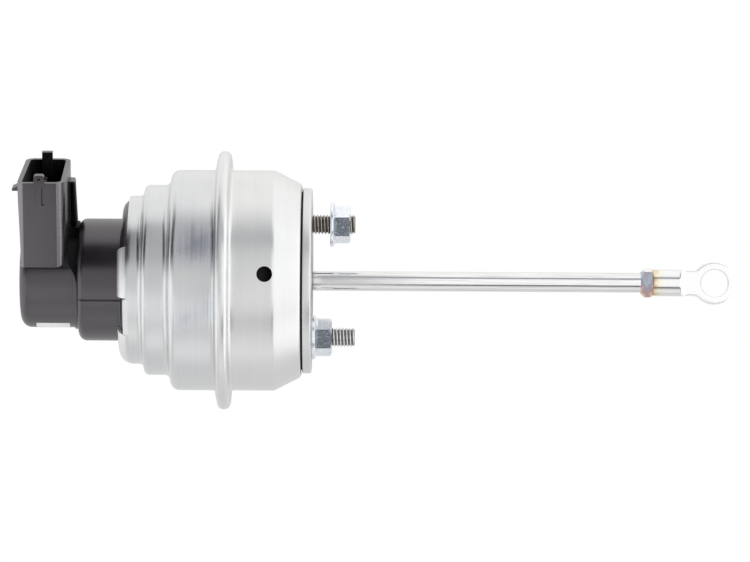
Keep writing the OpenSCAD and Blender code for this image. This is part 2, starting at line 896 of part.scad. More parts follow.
// Rear cap and plug socket, moulded in one piece
module sensor_cap() {
    collar_r = cap_r + 0.5;
    collar_x = barrel_end_x - 1.3;
    crown_h = 1.6;
    ring = [
        [0, barrel_end_x],
        [collar_r, barrel_end_x],
        [collar_r, collar_x, 0.4],
        [cap_r, collar_x],
        [cap_r, cap_end_x + crown_h, 2.2],
        [cap_r / 2, cap_end_x, 8],
        [0, cap_end_x],
    ];
    color([0.2, 0.2, 0.21]) rotate([connector_turn, 0, 0]) difference() {
        union() {
            turned(ring);
            intersection() {
                translate([0, 0, socket_foot_z])
                    linear_extrude(socket_h - socket_foot_z) polygon(rounded(socket_plan));
                upright(socket_side, 0, socket_l + 2);
            }
            socket_details();
        }
        bar_x(cap_cavity_r, cap_floor_x, cap_len - wall_t + 1);
        difference() {
            translate([0, 0, socket_floor_z])
                linear_extrude(socket_depth + 1) polygon(rounded(mouth_plan));
            block(
                [socket_mid_x - key_w / 2, socket_l / 2 - 2 * socket_t, socket_floor_z - 1],
                [socket_mid_x + key_w / 2, socket_l / 2, socket_h + 2]);
        }
        blades();
    }
}

// Flat terminals from the board up into the socket
module blades() {
    foot_z = board_z + board_t;
    for (i = [0 : pins - 1])
        let (y = (i - (pins - 1) / 2) * pin_pitch - blade_w / 2)
        translate([socket_mid_x - blade_t / 2, y, foot_z]) cube([blade_t, blade_w, blade_top_z - foot_z]);
}

module connector_terminals() {
    color("gold") rotate([connector_turn, 0, 0]) blades();
}

// Circuit board under the terminals
module sensor_board() {
    half_w = sqrt(pow(cap_cavity_r - board_play, 2) - pow(board_z + board_t, 2));
    color("seagreen") rotate([connector_turn, 0, 0])
        block(
            [cap_floor_x + board_play, -half_w, board_z],
            [barrel_end_x - board_gap, half_w, board_z + board_t]);
}

// Plunger that the return spring's piston pushes back, with the magnet's pocket in its carriage
module sensor_plunger() {
    outline = [
        [0, plunger_x],
        [plunger_r, plunger_x, plunger_r - 0.1],
        [plunger_r, carriage_x],
        [carriage_r, carriage_x, 0.4],
        [carriage_r, carriage_end_x, 0.3],
        [magnet_r, carriage_end_x],
        [magnet_r, carriage_end_x + magnet_t + 1],
        [0, carriage_end_x + magnet_t + 1],
    ];
    color("beige") turned(outline);
}

module sensor_magnet() {
    color("slategray") bar_x(magnet_r, carriage_end_x + 1, magnet_t);
}

module plunger_spring() {
    color("silver")
        coil(plunger_spring_r, plunger_spring_wire, cap_floor_x, carriage_end_x - cap_floor_x,
            plunger_spring_turns, 16, 6);
}

front_shell();
rear_shell();
mounting_plate();
upper_stud();
lower_stud();
upper_nut();
lower_nut();
guide_housing();
dust_seal();
guide_bush();
spring_seat();
vacuum_nipple();
rod();
lock_nut();
rod_end();
piston();
diaphragm();
diaphragm_retainer();
stop_washer();
return_spring();
flange_seal();
sensor_barrel();
sensor_cap();
sensor_board();
connector_terminals();
sensor_plunger();
sensor_magnet();
plunger_spring();
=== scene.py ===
"""Vacuum actuator of a turbocharger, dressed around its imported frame. Metres; +X runs along the push rod."""
import math

import bmesh
import bpy
from mathutils import Matrix, Vector


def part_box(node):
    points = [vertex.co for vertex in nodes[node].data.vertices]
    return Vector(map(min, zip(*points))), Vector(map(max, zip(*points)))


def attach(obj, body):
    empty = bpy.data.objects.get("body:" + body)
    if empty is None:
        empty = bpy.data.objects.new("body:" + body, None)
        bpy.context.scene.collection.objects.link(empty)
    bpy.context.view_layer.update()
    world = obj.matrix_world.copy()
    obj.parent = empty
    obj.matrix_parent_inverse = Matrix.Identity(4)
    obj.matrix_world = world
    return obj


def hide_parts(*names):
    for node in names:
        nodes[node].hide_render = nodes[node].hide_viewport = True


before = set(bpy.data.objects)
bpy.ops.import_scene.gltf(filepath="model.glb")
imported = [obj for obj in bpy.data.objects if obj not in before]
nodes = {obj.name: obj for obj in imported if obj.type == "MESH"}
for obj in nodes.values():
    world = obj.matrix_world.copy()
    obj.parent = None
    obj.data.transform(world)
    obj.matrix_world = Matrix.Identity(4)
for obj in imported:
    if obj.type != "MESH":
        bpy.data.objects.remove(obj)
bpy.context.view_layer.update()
scene = bpy.context.scene
MM = 0.001

# Camera: a long lens, level with the rod and 1.4 m away, rolled a little as the photo is. Its focal length
# follows from the size of a pixel at the rod's axis.
FRAME_W = 750
PIXEL = 0.305 * MM
DISTANCE = 1.4
AIM = Vector((19.2 * MM, 0, 0.05 * MM))
ROLL = math.radians(-0.35)
camera = bpy.data.cameras.new("camera")
camera.sensor_width = 36
camera.lens = camera.sensor_width * DISTANCE / (FRAME_W * PIXEL)
camera.clip_end = 20
camera_at = bpy.data.objects.new("camera", camera)
scene.collection.objects.link(camera_at)
camera_at.location = AIM + Vector((0, -DISTANCE, 0))
camera_at.rotation_euler = (math.radians(90), ROLL, 0)
scene.camera = camera_at

# Studio: white to the eye, and a light tent that is darker on the camera's side, as steel mirrors it.
# Each stop is the height of a direction (its sine) and the light that comes from there.
TENT_FRONT = [
    (-1.0, (1.0, 1.0, 1.0)), (-0.90, (0.86, 0.86, 0.86)), (-0.66, (0.62, 0.62, 0.63)),
    (-0.30, (0.62, 0.62, 0.63)), (0.0, (0.50, 0.50, 0.51)), (0.30, (0.33, 0.34, 0.37)),
    (0.66, (0.28, 0.30, 0.34)), (0.86, (0.42, 0.43, 0.45)), (0.96, (0.85, 0.85, 0.85)),
    (1.0, (1.1, 1.1, 1.1)),
]
TENT_BACK = [
    (-1.0, (0.74, 0.74, 0.74)), (-0.5, (0.78, 0.78, 0.78)), (0.0, (1.0, 1.0, 1.0)), (1.0, (1.0, 0.99, 0.97)),
]


def node(tree, kind, **inputs):
    """Adds a shader or geometry node and sets or links the inputs that are named."""
    made = tree.nodes.new(kind)
    for name, value in inputs.items():
        plug(tree, made, name, value)
    return made


def plug(tree, made, name, value):
    """Sets one input of a node, or links it if the value is another node's output."""
    socket = made.inputs[int(name[1:])] if name[0] == "i" and name[1:].isdigit() else made.inputs[name]
    if isinstance(value, bpy.types.NodeSocket):
        tree.links.new(value, socket)
    else:
        socket.default_value = value


def maths(tree, operation, *values, clamp=False):
    """One step of arithmetic; returns its output."""
    step = node(tree, "ShaderNodeMath")
    step.operation = operation
    step.use_clamp = clamp
    for number, value in enumerate(values):
        plug(tree, step, "i%d" % number, value)
    return step.outputs[0]


def ramp(tree, factor, stops):
    """A colour ramp over the given stops; returns its colour."""
    made = node(tree, "ShaderNodeValToRGB", i0=factor)
    elements = made.color_ramp.elements
    while len(elements) < len(stops):
        elements.new(0.5)
    for element, (place, colour) in zip(elements, stops):
        element.position = place
        element.color = (*colour, 1)
    return made.outputs["Color"]


def mixed(tree, factor, first, second):
    """Mixes two colours; returns the mix."""
    made = node(tree, "ShaderNodeMix")
    made.data_type = "RGBA"
    for name, value in ((0, factor), (6, first), (7, second)):
        plug(tree, made, "i%d" % name, value)
    return made.outputs[2]


world = bpy.data.worlds.new("studio")
world.use_nodes = True
scene.world = world
scene.view_settings.view_transform = "Standard"
tent = world.node_tree
background = tent.nodes["Background"]
way = node(tent, "ShaderNodeSeparateXYZ", i0=node(tent, "ShaderNodeTexCoord").outputs["Generated"])
height = maths(tent, "MULTIPLY_ADD", way.outputs["Z"], 0.5, 0.5)
front = ramp(tent, height, [(0.5 + 0.5 * sine, colour) for sine, colour in TENT_FRONT])
back = ramp(tent, height, [(0.5 + 0.5 * sine, colour) for sine, colour in TENT_BACK])
behind = maths(tent, "MULTIPLY_ADD", way.outputs["Y"], 4.0, 0.5, clamp=True)
lit = mixed(tent, behind, front, back)
seen = node(tent, "ShaderNodeLightPath").outputs["Is Camera Ray"]
plug(tent, background, "Color", mixed(tent, seen, lit, (1, 1, 1, 1)))


def panel(name, corners, brightness, hidden=True):
    """A glowing sheet of the studio; a hidden one shows in reflections only."""
    sheet = bpy.data.meshes.new(name)
    sheet.from_pydata(corners, [], [(0, 1, 2, 3)])
    glow = bpy.data.materials.new(name)
    glow.use_nodes = True
    tree = glow.node_tree
    tree.nodes.clear()
    light = node(tree, "ShaderNodeEmission", Color=(1, 1, 1, 1), Strength=brightness)
    tree.links.new(light.outputs[0], node(tree, "ShaderNodeOutputMaterial").inputs["Surface"])
    sheet.materials.append(glow)
    made = bpy.data.objects.new(name, sheet)
    scene.collection.objects.link(made)
    made.visible_camera = not hidden
    return made


FLOOR_Z, FLOOR_HALF = -0.2, 6
floor_corners = [(x * FLOOR_HALF, y * FLOOR_HALF, FLOOR_Z) for x, y in ((-1, -1), (1, -1), (1, 1), (-1, 1))]
floor = panel("floor", floor_corners, 1.0, hidden=False)
floor.visible_glossy = False
floor.visible_diffuse = False

# Upright sheets, in metres: each from one (x, y) to another and from one height to another, and its glow.
# The softbox ends level with the mounting plate and has dimmer wings beside it and a dark strip below. A
# brighter sheet stands low on the left for the plug socket, and a lamp at each side. The sheets at the back,
# with one thin dark line, give the steel its form from behind. A small black card close to the sensor gives
# its mouldings their dark band. Last, a lit ceiling hangs over the rod.
SHEETS = {
    "softbox": ((0.0, -0.5), (0.60, -0.5), -0.33, 0.34, 1.12),
    "strip": ((0.0, -0.5), (0.60, -0.5), -0.60, -0.33, 0.16),
    "wing": ((-0.045, -0.5), (0.0, -0.5), -0.60, 0.45, 0.66),
    "left_wing": ((-0.35, -0.5), (-0.080, -0.5), -0.60, 0.16, 0.74),
    "left_low": ((-0.35, -0.499), (-0.104, -0.499), -0.60, -0.16, 1.10),
    "left_wing_top": ((-0.35, -0.5), (-0.080, -0.5), 0.16, 0.90, 0.56),
    "right_lamp": ((0.60, -0.5), (0.60, 0.2), -0.90, 0.75, 1.35),
    "back_right": ((0.60, 0.2), (0.60, 0.75), -0.40, 0.45, 0.66),
    "back": ((-0.60, 0.75), (0.60, 0.75), -0.40, 0.35, 0.84),
    "back_line": ((-0.60, 0.74), (0.60, 0.74), -0.04, 0.03, 0.25),
    "left_lamp": ((-0.70, -0.78), (-0.70, 0.3), -0.60, 0.10, 1.15),
    "card": ((-0.150, -0.05), (-0.0605, -0.05), 0.017, 0.11, 0.0),
}
for name, ((x0, y0), (x1, y1), foot, top, strength) in SHEETS.items():
    panel(name, [(x0, y0, foot), (x1, y1, foot), (x1, y1, top), (x0, y0, top)], strength)
CEILING_Z = 0.6
ceiling_corners = [(x, y, CEILING_Z) for x, y in ((0.005, -0.46), (0.60, -0.46), (0.60, 0.5), (0.005, 0.5))]
panel("ceiling", ceiling_corners, 1.10)

# Front shell: deep drawn steel, 1 mm thick. Its nose is coned, a vent is pierced in its side, and its rim
# is folded over the rear shell's flange.
SHEET = 1.0
ARC_STEPS = 8
TURNS = 192


def cross(a, b):
    """The cross product of two flat vectors."""
    return a.x * b.y - a.y * b.x


def rounded(corners):
    """Points of a closed outline [x, r, corner radius], with its corners rounded."""
    points = []
    for i, corner in enumerate(corners):
        p = Vector(corner[:2])
        radius = corner[2] if len(corner) > 2 else 0
        u = (Vector(corners[i - 1][:2]) - p).normalized()
        v = (Vector(corners[(i + 1) % len(corners)][:2]) - p).normalized()
        half = math.acos(max(-1, min(1, u.dot(v)))) / 2
        if radius <= 0 or half > math.radians(89):
            points.append(p)
            continue
        centre = p + (u + v).normalized() * radius / math.sin(half)
        start = p + u * radius / math.tan(half) - centre
        stop = p + v * radius / math.tan(half) - centre
        turn = math.atan2(cross(start, stop), start.dot(stop))
        first = math.atan2(start.y, start.x)
        for k in range(ARC_STEPS + 1):
            angle = first + turn * k / ARC_STEPS
            points.append(centre + radius * Vector((math.cos(angle), math.sin(angle))))
    return points


def beside(a, b):
    """Unit normal on the sheet's side of the way from a to b."""
    d = (b - a).normalized()
    return Vector((-d.y, d.x))


def parallel(path, distance):
    """The line at a distance beside a path, with its corner radii made to match."""
    line = []
    last = len(path) - 1
    for i, corner in enumerate(path):
        p = Vector(corner[:2])
        before = beside(Vector(path[i - 1][:2]), p) if i else beside(p, Vector(path[1][:2]))
        after = beside(p, Vector(path[i + 1][:2])) if i < last else before
        side = p + distance * (before + after) / (1 + before.dot(after))
        radius = corner[2] if len(corner) > 2 else 0
        bend = math.copysign(1, cross(after, before))
        line.append((side.x, side.y, max(0, radius + distance * bend) if radius else 0))
    return line


def pressed(path, thickness):
    """Cross-section of a pressed sheet, drawn from its outer surface."""
    return rounded(list(path) + parallel(path, thickness)[::-1])


def around(x, r, angle):
    """A point at x along the rod and r from it; the angle runs from the top towards the viewer."""
    return Vector((x, -r * math.sin(angle), r * math.cos(angle))) * MM


def object_of(name, bm, sharp=35):
    """Makes a closed mesh an object of the scene, smooth up to the sharp angle."""
    bmesh.ops.remove_doubles(bm, verts=bm.verts, dist=1e-7)
    bmesh.ops.recalc_face_normals(bm, faces=bm.faces)
    mesh = bpy.data.meshes.new(name)
    bm.to_mesh(mesh)
    bm.free()
    mesh.polygons.foreach_set("use_smooth", [True] * len(mesh.polygons))
    mesh.set_sharp_from_angle(angle=math.radians(sharp))
    made = bpy.data.objects.new(name, mesh)
    scene.collection.objects.link(made)
    return made


def turned(name, points, turns=TURNS, height=0.0, swell=None):
    """A solid of revolution about the rod's axis, or about a line that lies height above it."""
    bm = bmesh.new()
    rings = []
    for step in range(turns):
        angle = math.tau * step / turns
        grow = swell(angle) if swell else 0
        rings.append([bm.verts.new(around(p.x, p.y + (grow if p.y > 0 else 0), angle)) for p in points])
    for i, ring in enumerate(rings):
        following = rings[(i + 1) % turns]
        for j, p in enumerate(points):
            k = (j + 1) % len(points)
            if p.y > 0 or points[k].y > 0:
                bm.faces.new((ring[j], ring[k], following[k], following[j]))
    bmesh.ops.translate(bm, vec=(0, 0, height * MM), verts=bm.verts)
    return object_of(name, bm)


def divided(points, longest):
    """The same outline with its long stretches cut up, so that a hole can be cut cleanly into it."""
    cut = []
    for i, p in enumerate(points):
        following = points[(i + 1) % len(points)]
        pieces = max(1, math.ceil((following - p).length / longest))
        cut += [p.lerp(following, k / pieces) for k in range(pieces)]
    return cut


def settled(piece, sharp=35):
    """Applies a piece's modifiers, so that its mesh is its final one."""
    view = bpy.context.evaluated_depsgraph_get()
    mesh = bpy.data.meshes.new_from_object(piece.evaluated_get(view), depsgraph=view)
    old = piece.data
    piece.modifiers.clear()
    piece.data = mesh
    mesh.name = old.name
    bpy.data.meshes.remove(old)
    mesh.polygons.foreach_set("use_smooth", [True] * len(mesh.polygons))
    mesh.set_sharp_from_angle(angle=math.radians(sharp))
    return piece


def combined(piece, operation, *tools):
    """Joins tools to a piece, cuts them out of it or keeps what they share, and deletes them."""
    for tool in tools:
        step = piece.modifiers.new(operation.lower(), "BOOLEAN")
        step.operation = operation
        step.solver = "EXACT"
        step.object = tool
        settled(piece)
        mesh = tool.data
        bpy.data.objects.remove(tool)
        bpy.data.meshes.remove(mesh)
    return piece


def eased(piece, width, angle):
    """Rounds a piece's edges that are sharper than the angle by a small bevel."""
    bevel = piece.modifiers.new("edges", "BEVEL")
    bevel.width = width * MM
    bevel.segments = 2
    bevel.limit_method = "ANGLE"
    bevel.angle_limit = math.radians(angle)
    bevel.harden_normals = True
    return piece


def drilled(name, radius, x, z, front_y, back_y, sides=64):
    """A cutter for a hole that runs from front to back."""
    bm = bmesh.new()
    bmesh.ops.create_cone(bm, cap_ends=True, segments=sides, radius1=radius * MM, radius2=radius * MM,
                          depth=(back_y - front_y) * MM)
    middle = Matrix.Translation(Vector((x, (front_y + back_y) / 2, z)) * MM)
    bmesh.ops.transform(bm, matrix=middle @ Matrix.Rotation(math.pi / 2, 4, "X"), verts=bm.verts)
    return object_of(name, bm)


def finish_of(name, colour, metallic, roughness):
    """A material with the values that are the same all over; returns it, its nodes and its shader."""
    made = bpy.data.materials.new(name)
    made.use_nodes = True
    tree = made.node_tree
    shader = tree.nodes["Principled BSDF"]
    plug(tree, shader, "Base Color", (*colour, 1))
    plug(tree, shader, "Metallic", metallic)
    plug(tree, shader, "Roughness", roughness)
    return made, tree, shader


def shade_faces(piece, material, chosen):
    """Gives one more material to the faces that are chosen by their centre, in millimetres, and normal."""
    piece.data.materials.append(material)
    for face in piece.data.polygons:
        if chosen(face.center / MM, face.normal):
            face.material_index = len(piece.data.materials) - 1


def spot_of(tree):
    """The place of a point on the piece, in the piece's own coordinates."""
    return node(tree, "ShaderNodeTexCoord").outputs["Object"]


def grain(tree, where, scale, detail):
    """Noise over a vector, scale in features per metre; returns its value."""
    return node(tree, "ShaderNodeTexNoise", Vector=where, Scale=scale, Detail=detail).outputs[0]


def embossed(tree, shader, height, strength, depth):
    """Gives a finish a relief, its depth in millimetres."""
    bump = node(tree, "ShaderNodeBump", Strength=strength, Distance=depth * MM, Height=height)
    plug(tree, shader, "Normal", bump.outputs[0])


LINES_ACROSS, LINES_ALONG = 2200.0, 30.0


def lathe_way(tree):
    """Object coordinates folded into (x, distance from the rod), so that a pattern runs round the rod."""
    spot = spot_of(tree)
    parts = node(tree, "ShaderNodeSeparateXYZ", i0=spot).outputs
    squares = maths(tree, "ADD", maths(tree, "POWER", parts["Y"], 2.0), maths(tree, "POWER", parts["Z"], 2.0))
    made = node(tree, "ShaderNodeCombineXYZ", X=maths(tree, "MULTIPLY", parts["X"], LINES_ACROSS),
                Y=maths(tree, "MULTIPLY", maths(tree, "SQRT", squares), LINES_ACROSS),
                Z=maths(tree, "MULTIPLY", parts["Z"], LINES_ALONG))
    return spot, made.outputs[0]


def brushed(name, colour, shade, roughness, swing, relief, shade_patches=()):
    """Drawn or turned steel: fine lines round the rod, soft blotches, patches of painted shade and a faint
    relief.

    A shade patch is a centre and a reach in millimetres, and how much it darkens the steel at its middle,
    towards a bluish dark grey.
    """
    made, tree, shader = finish_of(name, colour, 1.0, roughness)
    spot, way_round = lathe_way(tree)
    line = grain(tree, way_round, 1.0, 3.0)
    patch = grain(tree, spot, 70.0, 3.0)
    both = maths(tree, "MULTIPLY_ADD", line, 0.45, maths(tree, "MULTIPLY", patch, 0.55))
    for centre, reach, depth in shade_patches:
        where = node(tree, "ShaderNodeVectorMath", i0=spot, i1=[c * MM for c in centre])
        where.operation = "DISTANCE"
        away = maths(tree, "DIVIDE", where.outputs["Value"], reach * MM)
        both = maths(tree, "MULTIPLY_ADD", maths(tree, "SUBTRACT", 1.0, away, clamp=True), -depth, both)
    red, green, blue = (channel * 0.55 for channel in shade)
    stops = [(0.0, (red, green, blue + 0.06)), (0.30, shade), (0.68, colour)]
    plug(tree, shader, "Base Color", ramp(tree, both, stops))
    plug(tree, shader, "Roughness", maths(tree, "MULTIPLY_ADD", both, swing, roughness - swing / 2))
    embossed(tree, shader, line, relief, 0.02)
    return made


low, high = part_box("front_shell")
CRIMP_R = high.z / MM
SHELL_X = high.x / MM
FRONT_R = 33.55
NOSE_R = 29.4
CONE_X = SHELL_X - 8.14
CRIMP_X = SHELL_X - 21.5
CRIMP_W = 3.5
LIP = 3.7
LIP_RISE = math.tan(math.radians(12.5))
GUIDE_R = 8.05
VENT_R, VENT_X, VENT_Z = 2.35, -13.8, 1.9
front_skin = [
    (SHELL_X, GUIDE_R), (SHELL_X, NOSE_R, 1.1), (CONE_X, FRONT_R, 2), (CRIMP_X, FRONT_R, 1.2),
    (CRIMP_X, CRIMP_R, 1.7), (CRIMP_X - CRIMP_W, CRIMP_R, 1.7),
    (CRIMP_X - CRIMP_W - LIP_RISE * LIP, CRIMP_R - LIP),
]
can_front = brushed("can_front", (0.83, 0.83, 0.82), (0.76, 0.77, 0.77), 0.34, 0.10, 0.25)
front_shell = turned("front_cover", divided(pressed(front_skin, SHEET), 1.2))
combined(front_shell, "DIFFERENCE", drilled("vent_cut", VENT_R, VENT_X, VENT_Z, -CRIMP_R, -FRONT_R / 2))
front_shell.data.materials.append(can_front)
# Painted shade: a near black finish for the faces in the groove between the front shell's nose and the plate.
groove_shade_dark = finish_of("painted_groove_shade", (0.035, 0.033, 0.030), 0.0, 0.8)[0]
shade_faces(front_shell, groove_shade_dark, lambda p, _: p.x > SHELL_X - 0.01 and math.hypot(p.y, p.z) < NOSE_R)
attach(front_shell, "can")
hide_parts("front_shell")

# Rear shell: deep drawn steel in two steps. The rim of its neck is cut into three tabs, which are folded
# over the sensor's flange.
REAR_R, STEP_R, NECK_R = 33.55, 28.95, 25.6
BODY_END = CRIMP_X - 18.5
STEP_END = BODY_END - 7.7
RIM_X = STEP_END - 4.5
FOLD_X = RIM_X - 3.0
TAB_R = 20.6
TAB_BEND = 4.2
PLAY = 0.05
CONNECTOR_TURN = math.radians(16.5)
SIDE_TAB, NOTCH, FAR_TAB = 36.0, 28.8, 129.4
NEAR_GAP = 360 - FAR_TAB - 2 * SIDE_TAB - 2 * NOTCH
NOTCH_START = NEAR_GAP / 2 + SIDE_TAB
NOTCH_DEPTH = 1.1
FLANGE_R = CRIMP_R - SHEET - PLAY


def flange_back(r):
    """Where the rear shell's flange lies under the folded lip, at r from the rod."""
    return CRIMP_X - CRIMP_W + SHEET / math.cos(math.atan(LIP_RISE)) + PLAY - LIP_RISE * (CRIMP_R - r)


rear_skin = [
    (flange_back(FLANGE_R), FLANGE_R), (flange_back(REAR_R), REAR_R, 2.6),
    (BODY_END + (REAR_R - STEP_R) * math.tan(math.radians(10)), REAR_R, 2.6), (BODY_END, STEP_R, 1.9),
    (STEP_END, STEP_R, 1.6), (STEP_END, NECK_R, 1.6), (FOLD_X, NECK_R, TAB_BEND), (FOLD_X, TAB_R),
]


def tab_angles():
    """Angles round the neck, closer than a degree and a half, that fall on every edge of the tabs."""
    half = [0]
    for width in (NEAR_GAP / 2, SIDE_TAB, NOTCH, FAR_TAB / 2):
        steps = math.ceil(width / 1.5)
        half += [half[-1] + width / steps * (k + 1) for k in range(steps)]
    return half + [360 - a for a in half[-2:0:-1]]


def has_tab(angle):
    """Whether the neck carries a tab at an angle from the connector's side, in degrees."""
    side = min(angle, 360 - angle)
    return NEAR_GAP / 2 < side < NOTCH_START or side > NOTCH_START + NOTCH


def tabbed_shell(name, outline):
    """The rear shell: whole profiles through the tabs, and cut ones where its neck ends in the rim.

    The rim lies deeper in the notch below the near tab.
    """
    bm = bmesh.new()
    last = len(outline)
    outer, inner = [j for j, p in enumerate(outline) if abs(p.x - RIM_X) < 1e-4 and p.y > NECK_R - 1.5]
    angles = tab_angles()
    rings = []
    for angle in angles:
        turn = math.radians(angle) + CONNECTOR_TURN
        rings.append([bm.verts.new(around(p.x, p.y, turn)) for p in outline])
        if NOTCH_START + 0.1 < angle < NOTCH_START + NOTCH - 0.1:
            for j in (outer, inner):
                rings[-1][j].co.x -= NOTCH_DEPTH * MM
    whole = [has_tab((a + b) / 2) for a, b in zip(angles, angles[1:] + [360])]
    count = len(angles)
    for i in range(count):
        ring, following = rings[i], rings[(i + 1) % count]
        for j in range(last):
            k = (j + 1) % last
            if whole[i] or not outer <= j < inner:
                bm.faces.new((ring[j], ring[k], following[k], following[j]))
        if not whole[i]:
            bm.faces.new((ring[outer], ring[inner], following[inner], following[outer]))
        if whole[i] != whole[i - 1]:
            bm.faces.new(ring[outer:inner + 1])
    loose = [v for v in bm.verts if not v.link_faces]
    bmesh.ops.delete(bm, geom=loose, context="VERTS")
    return object_of(name, bm)


def with_points(points, x, r_low, r_high):
    """Adds a point wherever an outline crosses x between two radii."""
    out = []
    for i, p in enumerate(points):
        following = points[(i + 1) % len(points)]
        out.append(p)
        if (p.x - x) * (following.x - x) < -1e-9:
            meet = p.lerp(following, (x - p.x) / (following.x - p.x))
            if r_low < meet.y < r_high:
                out.append(meet)
    return out


# Painted shade: two darker patches on the viewer's side of the rear body, above and below the rod.
SHADE_PATCHES = [((-33.8, -31.5, 11.4), 11.0, 0.46), ((-36.0, -31.6, -11.0), 12.0, 0.30)]
can_rear = brushed("can_rear", (0.80, 0.80, 0.80), (0.70, 0.72, 0.74), 0.30, 0.10, 0.22, shade_patches=SHADE_PATCHES)
rear_outline = with_points(pressed(rear_skin, SHEET), RIM_X, NECK_R - 1.5, NECK_R + 0.1)
rear_shell = tabbed_shell("rear_cover", rear_outline)
eased(rear_shell, 0.12, 50)
rear_shell.data.materials.append(can_rear)
# The folded tabs get a rougher steel, lighter in colour than the shell's as painted light.
tab_steel_painted_light = brushed("tab_steel_painted_light", (0.95, 0.95, 0.95), (0.88, 0.88, 0.89), 0.50, 0.10, 0.3)
shade_faces(rear_shell, tab_steel_painted_light, lambda p, _: p.x < RIM_X - 0.3)
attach(rear_shell, "can")
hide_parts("rear_shell")

# Mounting plate: a turned steel disc, resistance welded to the front shell. A narrow groove is left between
# the two, and its faces are painted near black as painted shade.
low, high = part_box("mounting_plate")
PLATE_R = high.z / MM
PLATE_BACK = low.x / MM
GROOVE_W, GROOVE_D = 0.4, 1.1
plate_steel = brushed("plate_steel", (0.80, 0.80, 0.80), (0.74, 0.74, 0.75), 0.38, 0.12, 0.35)
plate = turned("mounting_disc", rounded([
    (0, GUIDE_R), (0, PLATE_R, 0.7), (PLATE_BACK + GROOVE_W, PLATE_R, 0.4),
    (PLATE_BACK + GROOVE_W, PLATE_R - GROOVE_D), (PLATE_BACK, PLATE_R - GROOVE_D), (PLATE_BACK, GUIDE_R),
]))
plate.data.materials.append(plate_steel)
GROOVE_END = PLATE_BACK + GROOVE_W + 0.01
# The faces in the groove get the painted shade.
shade_faces(plate, groove_shade_dark, lambda p, _: p.x < GROOVE_END and math.hypot(p.y, p.z) < PLATE_R - 0.3)
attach(plate, "can")
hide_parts("mounting_plate")

# Studs: M6 steel bolts with rolled threads, pressed into the plate from behind. The upper one is dull and
# brownish, and the lower one a bright zinc grey.
STUD_R = 3.0
THREAD_PITCH = 1.0
THREAD_DEPTH = 0.60
STUD_POINT = 0.6
STUD_Z = 17.2


def thread_tree():
    """Geometry nodes that roll a thread on a bar: each ring follows the helix, and the tip is pointed."""
    tree = bpy.data.node_groups.new("rolled_thread", "GeometryNodeTree")
    tree.interface.new_socket("Geometry", in_out="OUTPUT", socket_type="NodeSocketGeometry")
    for name in ("Radius", "Depth", "Pitch", "Length", "Foot", "Height", "Point"):
        tree.interface.new_socket(name, in_out="INPUT", socket_type="NodeSocketFloat")
    tree.interface.new_socket("Rings", in_out="INPUT", socket_type="NodeSocketInt")
    tree.interface.new_socket("Finish", in_out="INPUT", socket_type="NodeSocketMaterial")
    given = node(tree, "NodeGroupInput").outputs
    bar = node(tree, "GeometryNodeMeshCylinder", Vertices=72, Radius=given["Radius"], Depth=given["Length"])
    plug(tree, bar, "Side Segments", given["Rings"])
    spot = node(tree, "ShaderNodeSeparateXYZ", i0=node(tree, "GeometryNodeInputPosition").outputs[0]).outputs
    run = maths(tree, "MULTIPLY_ADD", given["Length"], 0.5, spot["Z"])
    turn = maths(tree, "DIVIDE", maths(tree, "ARCTAN2", spot["Y"], spot["X"]), math.tau)
    phase = maths(tree, "FRACT", maths(tree, "SUBTRACT", maths(tree, "DIVIDE", run, given["Pitch"]), turn))
    slope = maths(tree, "ABSOLUTE", maths(tree, "MULTIPLY_ADD", phase, 2.0, -1.0))
    flank = maths(tree, "MULTIPLY_ADD", slope, 1.3, -0.12, clamp=True)
    cut = maths(tree, "MULTIPLY", flank, given["Depth"])
    radius = maths(tree, "SUBTRACT", given["Radius"], cut)
    left = maths(tree, "SUBTRACT", given["Length"], run)
    tip = maths(tree, "ADD", maths(tree, "SUBTRACT", given["Radius"], given["Point"]), left)
    share = maths(tree, "DIVIDE", maths(tree, "MINIMUM", radius, tip), given["Radius"])
    goal = node(tree, "ShaderNodeCombineXYZ", X=maths(tree, "ADD", given["Foot"], run),
                Y=maths(tree, "MULTIPLY", spot["X"], share),
                Z=maths(tree, "MULTIPLY_ADD", spot["Y"], share, given["Height"]))
    rolled = node(tree, "GeometryNodeSetPosition", Geometry=bar.outputs["Mesh"], Position=goal.outputs[0])
    real = node(tree, "GeometryNodeRealizeInstances", Geometry=rolled.outputs[0])
    coated = node(tree, "GeometryNodeSetMaterial", Geometry=real.outputs[0], Material=given["Finish"])
    node(tree, "NodeGroupOutput", i0=coated.outputs[0])
    return tree


def grown(name, tree, **values):
    """Runs a geometry tree with its named inputs on an empty mesh, and keeps the result as a plain mesh."""
    piece = bpy.data.objects.new(name, bpy.data.meshes.new(name))
    scene.collection.objects.link(piece)
    step = piece.modifiers.new("build", "NODES")
    step.node_group = tree
    for item in tree.interface.items_tree:
        if item.in_out == "INPUT" and item.name in values:
            step[item.identifier] = values[item.name]
    return settled(piece, 60)


def thread_finish(name, crest, root, roughness):
    """Rolled thread: lighter on its crests and darker towards its roots, with a fine scaly grain."""
    made, tree, shader = finish_of(name, crest, 1.0, roughness)
    spot = spot_of(tree)
    scale = grain(tree, spot, 900.0, 4.0)
    parts = node(tree, "ShaderNodeSeparateXYZ", i0=spot).outputs
    away = maths(tree, "SUBTRACT", maths(tree, "ABSOLUTE", parts["Z"]), STUD_Z * MM)
    squares = maths(tree, "ADD", maths(tree, "POWER", away, 2.0), maths(tree, "POWER", parts["Y"], 2.0))
    sunk = maths(tree, "SUBTRACT", STUD_R * MM, maths(tree, "SQRT", squares))
    deep = maths(tree, "DIVIDE", sunk, THREAD_DEPTH * MM)
    toward_root = maths(tree, "MULTIPLY_ADD", scale, 0.5, maths(tree, "SUBTRACT", deep, 0.25), clamp=True)
    plug(tree, shader, "Base Color", ramp(tree, toward_root, [(0.15, crest), (0.75, root)]))
    embossed(tree, shader, scale, 0.4, 0.02)
    return made


